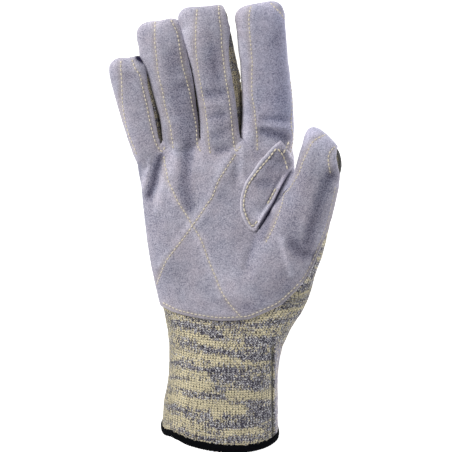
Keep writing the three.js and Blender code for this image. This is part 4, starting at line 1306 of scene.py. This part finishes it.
def jersey(name):
    """Seamless jersey, knitted from pale yellow and navy-grey yarns that run together: columns of small
    V stitches, with streaks of one colour or the other along the rows, painted shade in the holes between
    columns and where the yarn lies lower, and painted shade and highlights from its tone layer."""
    settings = bpy.context.scene.glove
    material = bpy.data.materials.new(name)
    node = emptied(material)
    rows = node("SeparateXYZ", [node("UVMap", uv_map="stitches")], out=None)
    wale, course = (node("Math", [rows[i], UV_STITCHES], operation="MULTIPLY") for i in (0, 1))
    # How far across its column a point lies, 0 in the middle and 1 between two; a stitch is two legs in a V
    across = node("Math", [node("Math", [wale], operation="FRACT"), 0.5], operation="SUBTRACT")
    across = node("Math", [node("Math", [across], operation="ABSOLUTE"), 2.0], operation="MULTIPLY")
    leg = node("Math", [across, -0.5, course], operation="MULTIPLY_ADD")
    strand, between_rows = (
        node("Math", [node("Math", [node("Math", [way], operation="FRACT"), math.pi], operation="MULTIPLY")],
             operation="SINE") for way in (leg, course))
    column = node("Math", [node("Math", [across, -0.74 * math.pi, 0.82 * math.pi], operation="MULTIPLY_ADD")],
                  operation="SINE")
    height = node("Math", [node("Math", [strand, 0.4], operation="POWER"),
                           node("Math", [column, 0.9, 0.1], operation="MULTIPLY_ADD")], operation="MULTIPLY")
    # A chance for each leg of a stitch, and one for each place between two columns
    leg_chance, gap_chance = (
        node("TexWhiteNoise", [node("CombineXYZ", [node("Math", [way], operation="FLOOR") for way in cell])],
             noise_dimensions="2D", out=None)
        for cell in ((node("Math", [wale, 2.0], operation="MULTIPLY"), leg),
                     (node("Math", [wale, 0.5], operation="ADD"), course)))
    picks = node("SeparateColor", [leg_chance["Color"]], out=None)
    place = node("TexCoord", out="Object")
    spot = node("SeparateXYZ", [place], out=None)
    fluff, lint = (
        node("Math", [node("TexNoise", {"Vector": place, "Scale": 1 / (size * MM), "Detail": 1.0}), 0.5],
             operation="SUBTRACT") for size in (0.8, 0.58))
    yarn, ruled, tone = (node("Attribute", attribute_name=layer, out="Fac")
                         for layer in ("yarn", "ruled", "tone"))
    # How grey the yarn is: the planned bands, then streaks so many millimetres long and so many rows high,
    # which count less where bands are planned, then single stitches and fluff
    grey = node("Math", [yarn, 0.80, 0.54], operation="MULTIPLY_ADD")
    for long, high, start, ruled_part, part in ((46, 3.4, 3.7, -2.8, 3.4), (20, 1.5, 9.1, -1.1, 2.0)):
        spread = node("CombineXYZ", [
            node("Math", [spot[0], 1 / (long * MM), start], operation="MULTIPLY_ADD"),
            node("Math", [course, 1 / high], operation="MULTIPLY"),
            node("Math", [spot[2], 1 / (long * MM)], operation="MULTIPLY")])
        streak = node("TexNoise", {"Vector": spread, "Scale": 1.0, "Detail": 1.0})
        streak = node("Math", [streak, 0.5], operation="SUBTRACT")
        weight = node("Math", [ruled, ruled_part, part], operation="MULTIPLY_ADD")
        grey = node("Math", [streak, weight, grey], operation="MULTIPLY_ADD")
    stitch = node("Math", [picks[0], 0.5], operation="SUBTRACT")
    for value, weight in ((spot[0], 3.0), (stitch, 0.75), (fluff, 2.2)):
        grey = node("Math", [value, weight, grey], operation="MULTIPLY_ADD")
    grey = node("MapRange", [grey, 0.2, 0.84], interpolation_type="SMOOTHSTEP")
    # How light each stitch of the yellow yarn and of the navy-grey one is
    lights = []
    for pick, pick_part, least, lint_part in ((picks[1], 0.5, 0.54, 3.2), (picks[2], 0.6, 0.13, 3.8)):
        light = node("Math", [pick, pick_part, least], operation="MULTIPLY_ADD")
        lights.append(node("Math", [lint, lint_part, light], operation="MULTIPLY_ADD"))
    pale = tuple(settings.yarn_light)
    yellow = node("Mix", {0: node("Clamp", [lights[0]]), 6: (*(c * 0.42 for c in pale[:3]), 1.0), 7: pale},
                  data_type="RGBA", out=2)
    navy = node("ValToRGB", [lights[1]])
    stops = navy.node.color_ramp.elements
    stops[0].color = tuple(settings.yarn_dark)
    stops[1].color = WHITE
    for spot, code in ((0.35, "#706E7D"), (0.7, "#A09BA7")):
        stops.new(spot).color = linear(code)
    # Painted shade in holes between the columns, at about every other row
    hole_shade = node("Math", [node("Math", [gap_chance["Value"], 0.5], operation="GREATER_THAN"), between_rows],
                operation="MULTIPLY")
    hole_shade = node("Math", [hole_shade, node("MapRange", [across, 0.45, 0.9])], operation="MULTIPLY")
    # Painted shade where the yarn lies lower
    depth = node("Math", [height, 0.96, 0.26], operation="MULTIPLY_ADD")
    # Painted highlight where the tone is negative, painted shade where it is positive
    paler = node("Clamp", [node("Math", [tone, -1.1], operation="MULTIPLY")])
    painted_shading = node("CombineColor", [node("Math", [tone, -part, 1.0], operation="MULTIPLY_ADD")
                                   for part in (0.98, 1.0, 1.1)])
    # Where the painted shade is deepest, the knit is painted nearly black
    painted_dark = node("MapRange", [tone, 0.55, 0.85])
    colour = yellow
    for blend, share, over in (
            ("MIX", grey, navy), ("MIX", hole_shade, linear("#252022")),
            ("MULTIPLY", 1.0, node("CombineColor", [depth] * 3)), ("MIX", paler, linear("#A7A0AE")),
            ("MULTIPLY", 1.0, painted_shading), ("MIX", painted_dark, linear("#17161A"))):
        colour = node("Mix", {0: share, 6: colour, 7: over}, data_type="RGBA", blend_type=blend, out=2)
    shader = node("BsdfPrincipled", {
        "Base Color": colour, "Roughness": 0.9, "Specular IOR Level": 0.2, "Sheen Weight": 0.3,
        "Sheen Roughness": 0.5,
        "Normal": node("Bump", {"Strength": 0.9, "Distance": 0.55 * MM, "Height": height})})
    node("OutputMaterial", {"Surface": shader}, out=None)
    return material


def spun_thread(name):
    """Spun sewing thread, cream-yellow and matte, with fine darker patches along it."""
    cream = tuple(bpy.context.scene.glove.thread_colour)
    material = bpy.data.materials.new(name)
    node = emptied(material)
    place = node("TexCoord", out="Object")
    twist = node("TexNoise", {"Vector": place, "Scale": 1 / (0.9 * MM), "Detail": 2.0})
    colour = node("Mix", {0: node("MapRange", [twist, 0.3, 0.65]), 6: (*(c * 0.62 for c in cream[:3]), 1.0),
                          7: cream}, data_type="RGBA", out=2)
    shader = node("BsdfPrincipled", {"Base Color": colour, "Roughness": 0.7, "Sheen Weight": 0.2})
    node("OutputMaterial", {"Surface": shader}, out=None)
    return material


def overlock_yarn(name):
    """Black textured yarn wound over the edge: dull, nearly black, with a faint blue-grey where it
    catches light along each turn."""
    black = tuple(bpy.context.scene.glove.hem_colour)
    material = bpy.data.materials.new(name)
    node = emptied(material)
    place = node("TexCoord", out="Object")
    fluff = node("TexNoise", {"Vector": place, "Scale": 1 / (0.8 * MM), "Detail": 3.0})
    colour = node("Mix", {0: node("MapRange", [fluff, 0.45, 0.8]), 6: black,
                          7: (*(min(1, c * 2.0 + 0.001) for c in black[:3]), 1.0)}, data_type="RGBA", out=2)
    shader = node("BsdfPrincipled", {
        "Base Color": colour, "Roughness": 0.85, "Specular IOR Level": 0.08,
        "Normal": node("Bump", {"Strength": 0.6, "Distance": 0.3 * MM, "Height": fluff})})
    node("OutputMaterial", {"Surface": shader}, out=None)
    return material


def white_paper(name):
    """Matte white paper under the glove, lit evenly of itself."""
    material = bpy.data.materials.new(name)
    node = emptied(material)
    shader = node("BsdfPrincipled", {
        "Base Color": linear("#F4F4F4"), "Roughness": 0.9, "Specular IOR Level": 0.1, "Emission Color": WHITE,
        "Emission Strength": TABLE_LIGHT})
    node("OutputMaterial", {"Surface": shader}, out=None)
    return material


class GloveSettings(bpy.types.PropertyGroup):
    """Sizes and colours that a maker of the glove would change."""

    skin_detail: bpy.props.FloatProperty(
        name="Skin detail", description="Size of the squares of the knit's mesh", default=1.03 * MM,
        min=0.4 * MM, unit="LENGTH")
    leather_detail: bpy.props.FloatProperty(
        name="Leather detail", description="Size of the squares of the leather's mesh", default=0.82 * MM,
        min=0.4 * MM, unit="LENGTH")
    stitch_pitch: bpy.props.FloatProperty(
        name="Stitch pitch", description="From one stitch of the seams to the next", default=2.4 * MM,
        min=1 * MM, unit="LENGTH")
    stitch_long: bpy.props.FloatProperty(
        name="Stitch length", description="Length of the thread that shows in one stitch", default=1.75 * MM,
        min=0.5 * MM, unit="LENGTH")
    thread_thick: bpy.props.FloatProperty(
        name="Thread thickness", description="Thickness of the sewing thread", default=0.70 * MM,
        min=0.2 * MM, unit="LENGTH")
    leather_light: bpy.props.FloatVectorProperty(
        name="Leather light", description="Leather where the nap lies to the light", subtype="COLOR", size=4,
        default=linear("#C6C2CE"), min=0, max=1)
    leather_dark: bpy.props.FloatVectorProperty(
        name="Leather dark", description="Leather where the nap lies away", subtype="COLOR", size=4,
        default=linear("#7A798B"), min=0, max=1)
    yarn_light: bpy.props.FloatVectorProperty(
        name="Light yarn", description="The pale yellow yarn", subtype="COLOR", size=4,
        default=linear("#FFF2CB"), min=0, max=1)
    yarn_dark: bpy.props.FloatVectorProperty(
        name="Dark yarn", description="The navy-grey yarn", subtype="COLOR", size=4,
        default=linear("#2B273A"), min=0, max=1)
    thread_colour: bpy.props.FloatVectorProperty(
        name="Thread", description="The sewing thread", subtype="COLOR", size=4,
        default=linear("#F3E9CF"), min=0, max=1)
    hem_colour: bpy.props.FloatVectorProperty(
        name="Hem yarn", description="The overlocked edge of the cuff", subtype="COLOR", size=4,
        default=linear("#04050A"), min=0, max=1)


class GLOVE_OT_stage(bpy.types.Operator):
    """Makes the camera, the pale floor and the soft light."""

    bl_idname = "glove.stage"
    bl_label = "Stage"

    def execute(self, context):
        scene = context.scene
        lens = bpy.data.cameras.new("camera")
        lens.sensor_width = SENSOR
        lens.lens = SENSOR * VIEW_DISTANCE / PIXEL / IMAGE_SIDE
        lens.clip_start = 0.05
        camera = linked("camera", lens)
        camera.location = EYE * MM
        camera.rotation_euler = (-VIEW_TILT, 0, 0)
        scene.camera = camera
        floor = bmesh.new()
        bmesh.ops.create_grid(floor, x_segments=1, y_segments=1, size=FLOOR_SIZE,
                              matrix=Matrix.Translation((0, 0, -FLOOR_DROP)))
        ground = linked("floor", dressed(floor, "floor", white_paper("white_paper_sweep")))
        world = bpy.data.worlds.new("studio")
        node = emptied(world)
        # The camera sees white behind the glove, and the sky lights it less
        bright = node("MapRange", {0: node("LightPath", out="Is Camera Ray"), 3: WORLD_LIGHT, 4: 1.0})
        node("OutputWorld", {"Surface": node("Background", [WHITE, bright])}, out=None)
        scene.world = world
        for name, turn, height, side, watts, colour in LAMPS:
            lamp = bpy.data.lights.new(name, "AREA")
            lamp.shape = "SQUARE"
            lamp.size = side
            lamp.energy = watts
            lamp.color = colour
            held = linked(name, lamp)
            turn, height = math.radians(turn), math.radians(height)
            way = Vector((math.cos(turn) * math.cos(height), math.sin(turn) * math.cos(height),
                          math.sin(height)))
            held.location = way * LAMP_DISTANCE
            held.rotation_euler = (-way).to_track_quat("-Z", "Y").to_euler()
        scene.view_settings.view_transform = "Standard"
        return {"FINISHED"}


class GLOVE_OT_knit(bpy.types.Operator):
    """Makes the seamless knit hand and cuff, a wall with an outer and an inner face."""

    bl_idname = "glove.knit"
    bl_label = "Knit glove"

    def execute(self, context):
        mesh, points, normals = skin(context.scene.glove.skin_detail / MM)
        outer = opened(mesh)
        # The tone layer holds painted shade between the fingers, along the knit shades and in the cuff's
        # crease, and a painted highlight beyond the crease
        swell, shade = finger_swell(points - HAND_ORIGIN, normals)
        crease, crease_and_shade = cuff_crease(points, normals)
        uneven, shade = unevenness(points, KNIT_UNEVEN) + swell, shade + crease_and_shade
        banded, planned = yarn_bands(points, normals)
        tone, yarn, ruled = (outer.verts.layers.float.new(layer) for layer in ("tone", "yarn", "ruled"))
        for v, n, d, t, band, rule in zip(outer.verts, normals, uneven - crease, shade, banded, planned):
            v[tone], v[yarn], v[ruled] = t, band, rule
            v.co = v.co + Vector(n) * d * MM
            v.co.z = max(v.co.z, 0.0)
        inner_mesh = remeshed(knit_shell(False), INNER_VOXEL)
        set_points(inner_mesh, relaxed(mesh_points(inner_mesh), inner_mesh, INNER_ROUNDS))
        inner = opened(inner_mesh)
        bmesh.ops.reverse_faces(inner, faces=inner.faces)
        plane = Vector((HAND_ORIGIN + HEM_POINT) * MM)
        for side in (outer, inner):
            geometry = side.verts[:] + side.edges[:] + side.faces[:]
            bmesh.ops.bisect_plane(side, geom=geometry, plane_co=plane, plane_no=Vector(HEM_NORMAL),
                                   clear_inner=True)
        pour(inner, outer)
        bmesh.ops.bridge_loops(outer, edges=[e for e in outer.edges if e.is_boundary])
        rows = outer.loops.layers.uv.new("stitches")
        points = np.array([v.co for v in outer.verts]) / MM
        wale, course = knit_rows(points)
        for v, droop in zip(outer.verts, hem_sag(points - HAND_ORIGIN)):
            v.co += Vector(droop * MM)
        outer.verts.index_update()
        for face in outer.faces:
            first = wale[face.verts[0].index]
            for corner in face.loops:
                i = corner.vert.index
                # A face over the back's middle keeps to one count of the wales
                turn = round((first - wale[i]) / CUFF_WALES) * CUFF_WALES
                corner[rows].uv = ((wale[i] + turn) / UV_STITCHES, course[i] / UV_STITCHES)
        add_piece("knit_hand_and_cuff", dressed(outer, "knit", jersey("mixed_yarn_jersey")),
                  ["knit_glove"])
        return {"FINISHED"}


class GLOVE_OT_leather(bpy.types.Operator):
    """Makes the leather palm and the leaf-shaped patch sewn on it."""

    bl_idname = "glove.leather"
    bl_label = "Leather palm and patch"

    def execute(self, context):
        voxel = context.scene.glove.leather_detail / MM
        palm = sewn_layer("leather", voxel, leather_cover, LEATHER_IN, LEATHER_OUT, palm_relief,
                          suede("napped_split_leather", 0))
        add_piece("leather_palm_panel", palm, ["leather_palm"])
        leaf = sewn_layer("leaf", voxel, leaf_cover, PATCH_IN, PATCH_OUT, leaf_relief,
                          suede("napped_split_leather_patch", 3))
        add_piece("leather_crotch_leaf", leaf, ["thumb_crotch_patch"])
        return {"FINISHED"}


class GLOVE_OT_thread(bpy.types.Operator):
    """Lays the cream-yellow stitches along the seams."""

    bl_idname = "glove.thread"
    bl_label = "Stitching"

    def execute(self, context):
        settings = context.scene.glove
        sizes = np.array([settings.stitch_pitch, settings.stitch_long, settings.thread_thick])
        palm, leaf = (bpy.data.objects[name].data for name in ("leather_palm_panel", "leather_crotch_leaf"))
        thread = spun_thread("cream_sewing_thread")
        add_piece("palm_stitches", lay_thread("palm_seams", [palm], palm_seams(), *sizes, thread))
        add_piece("leaf_stitches", lay_thread("leaf_seams", [palm, leaf], seams_of(PATCH_SEAMS),
                                              *(sizes * LEAF_THREAD), thread))
        return {"FINISHED"}


class GLOVE_OT_hem(bpy.types.Operator):
    """Makes the black overlocked edge of the cuff, yarn wound round the knit's end."""

    bl_idname = "glove.hem"
    bl_label = "Hem"

    def execute(self, context):
        band = opened(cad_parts["hem_band"].data)
        bmesh.ops.remove_doubles(band, verts=band.verts, dist=WELD)
        bmesh.ops.join_triangles(band, faces=band.faces, angle_face_threshold=0.6, angle_shape_threshold=3.1)
        made = modified(dressed(band, "hem", overlock_yarn("black_overlock_yarn")), "SUBSURF", levels=3,
                        render_levels=3)
        points, normals = mesh_points(made), mesh_normals(made)
        hand = points - HAND_ORIGIN
        across = hand[:, 0] - HEM["mid"]
        share = share_round(across, hand[:, 2] - HEM["lift"], HEM["half"], HEM["rise"])
        past = past_hem(hand)
        turns = 0.5 + 0.5 * np.cos(2 * np.pi * (share * HEM["turns"] + past * HEM["slant"]))
        # The upper edge bends further down in its middle, and the yarn bites unevenly into the cuff's knit
        side = np.clip(np.abs(across) / HEM["bend"], 0, 1.1)
        upper = smoothstep(*HEM["end"], past) * smoothstep(*HEM["upper"], hand[:, 2])
        deeper = HEM_SPARE * upper * (1 - side**2)
        uneven = np.clip(2.0 * wander(points, 1.5, 7) + 0.4, 0, 1)
        biting = HEM["bite"] * smoothstep(*HEM["bites"], past) * uneven
        points = points + normals * (HEM["high"] * turns - HEM["sunk"])[:, None]
        set_points(made, points - HEM_NORMAL * (deeper + biting)[:, None] + hem_sag(hand))
        add_piece("overlocked_hem", made, ["hem_band"])
        return {"FINISHED"}


class GLOVE_PT_panel(bpy.types.Panel):
    """Lists what builds the glove."""

    bl_idname = "GLOVE_PT_panel"
    bl_label = "Glove"
    bl_space_type = "VIEW_3D"
    bl_region_type = "UI"
    bl_category = "Glove"

    def draw(self, context):
        for operator in OPERATORS:
            self.layout.operator(operator.bl_idname)
        for name in GloveSettings.__annotations__:
            self.layout.prop(context.scene.glove, name)


OPERATORS = (GLOVE_OT_stage, GLOVE_OT_knit, GLOVE_OT_leather, GLOVE_OT_thread, GLOVE_OT_hem)
CLASSES = (GloveSettings, *OPERATORS, GLOVE_PT_panel)


def register():
    for made in CLASSES:
        bpy.utils.register_class(made)
    bpy.types.Scene.glove = bpy.props.PointerProperty(type=GloveSettings)


def unregister():
    del bpy.types.Scene.glove
    for made in reversed(CLASSES):
        bpy.utils.unregister_class(made)


def main():
    register()
    bpy.ops.glove.stage()
    bpy.ops.glove.knit()
    bpy.ops.glove.leather()
    bpy.ops.glove.thread()
    bpy.ops.glove.hem()


if __name__ == "__main__":
    main()
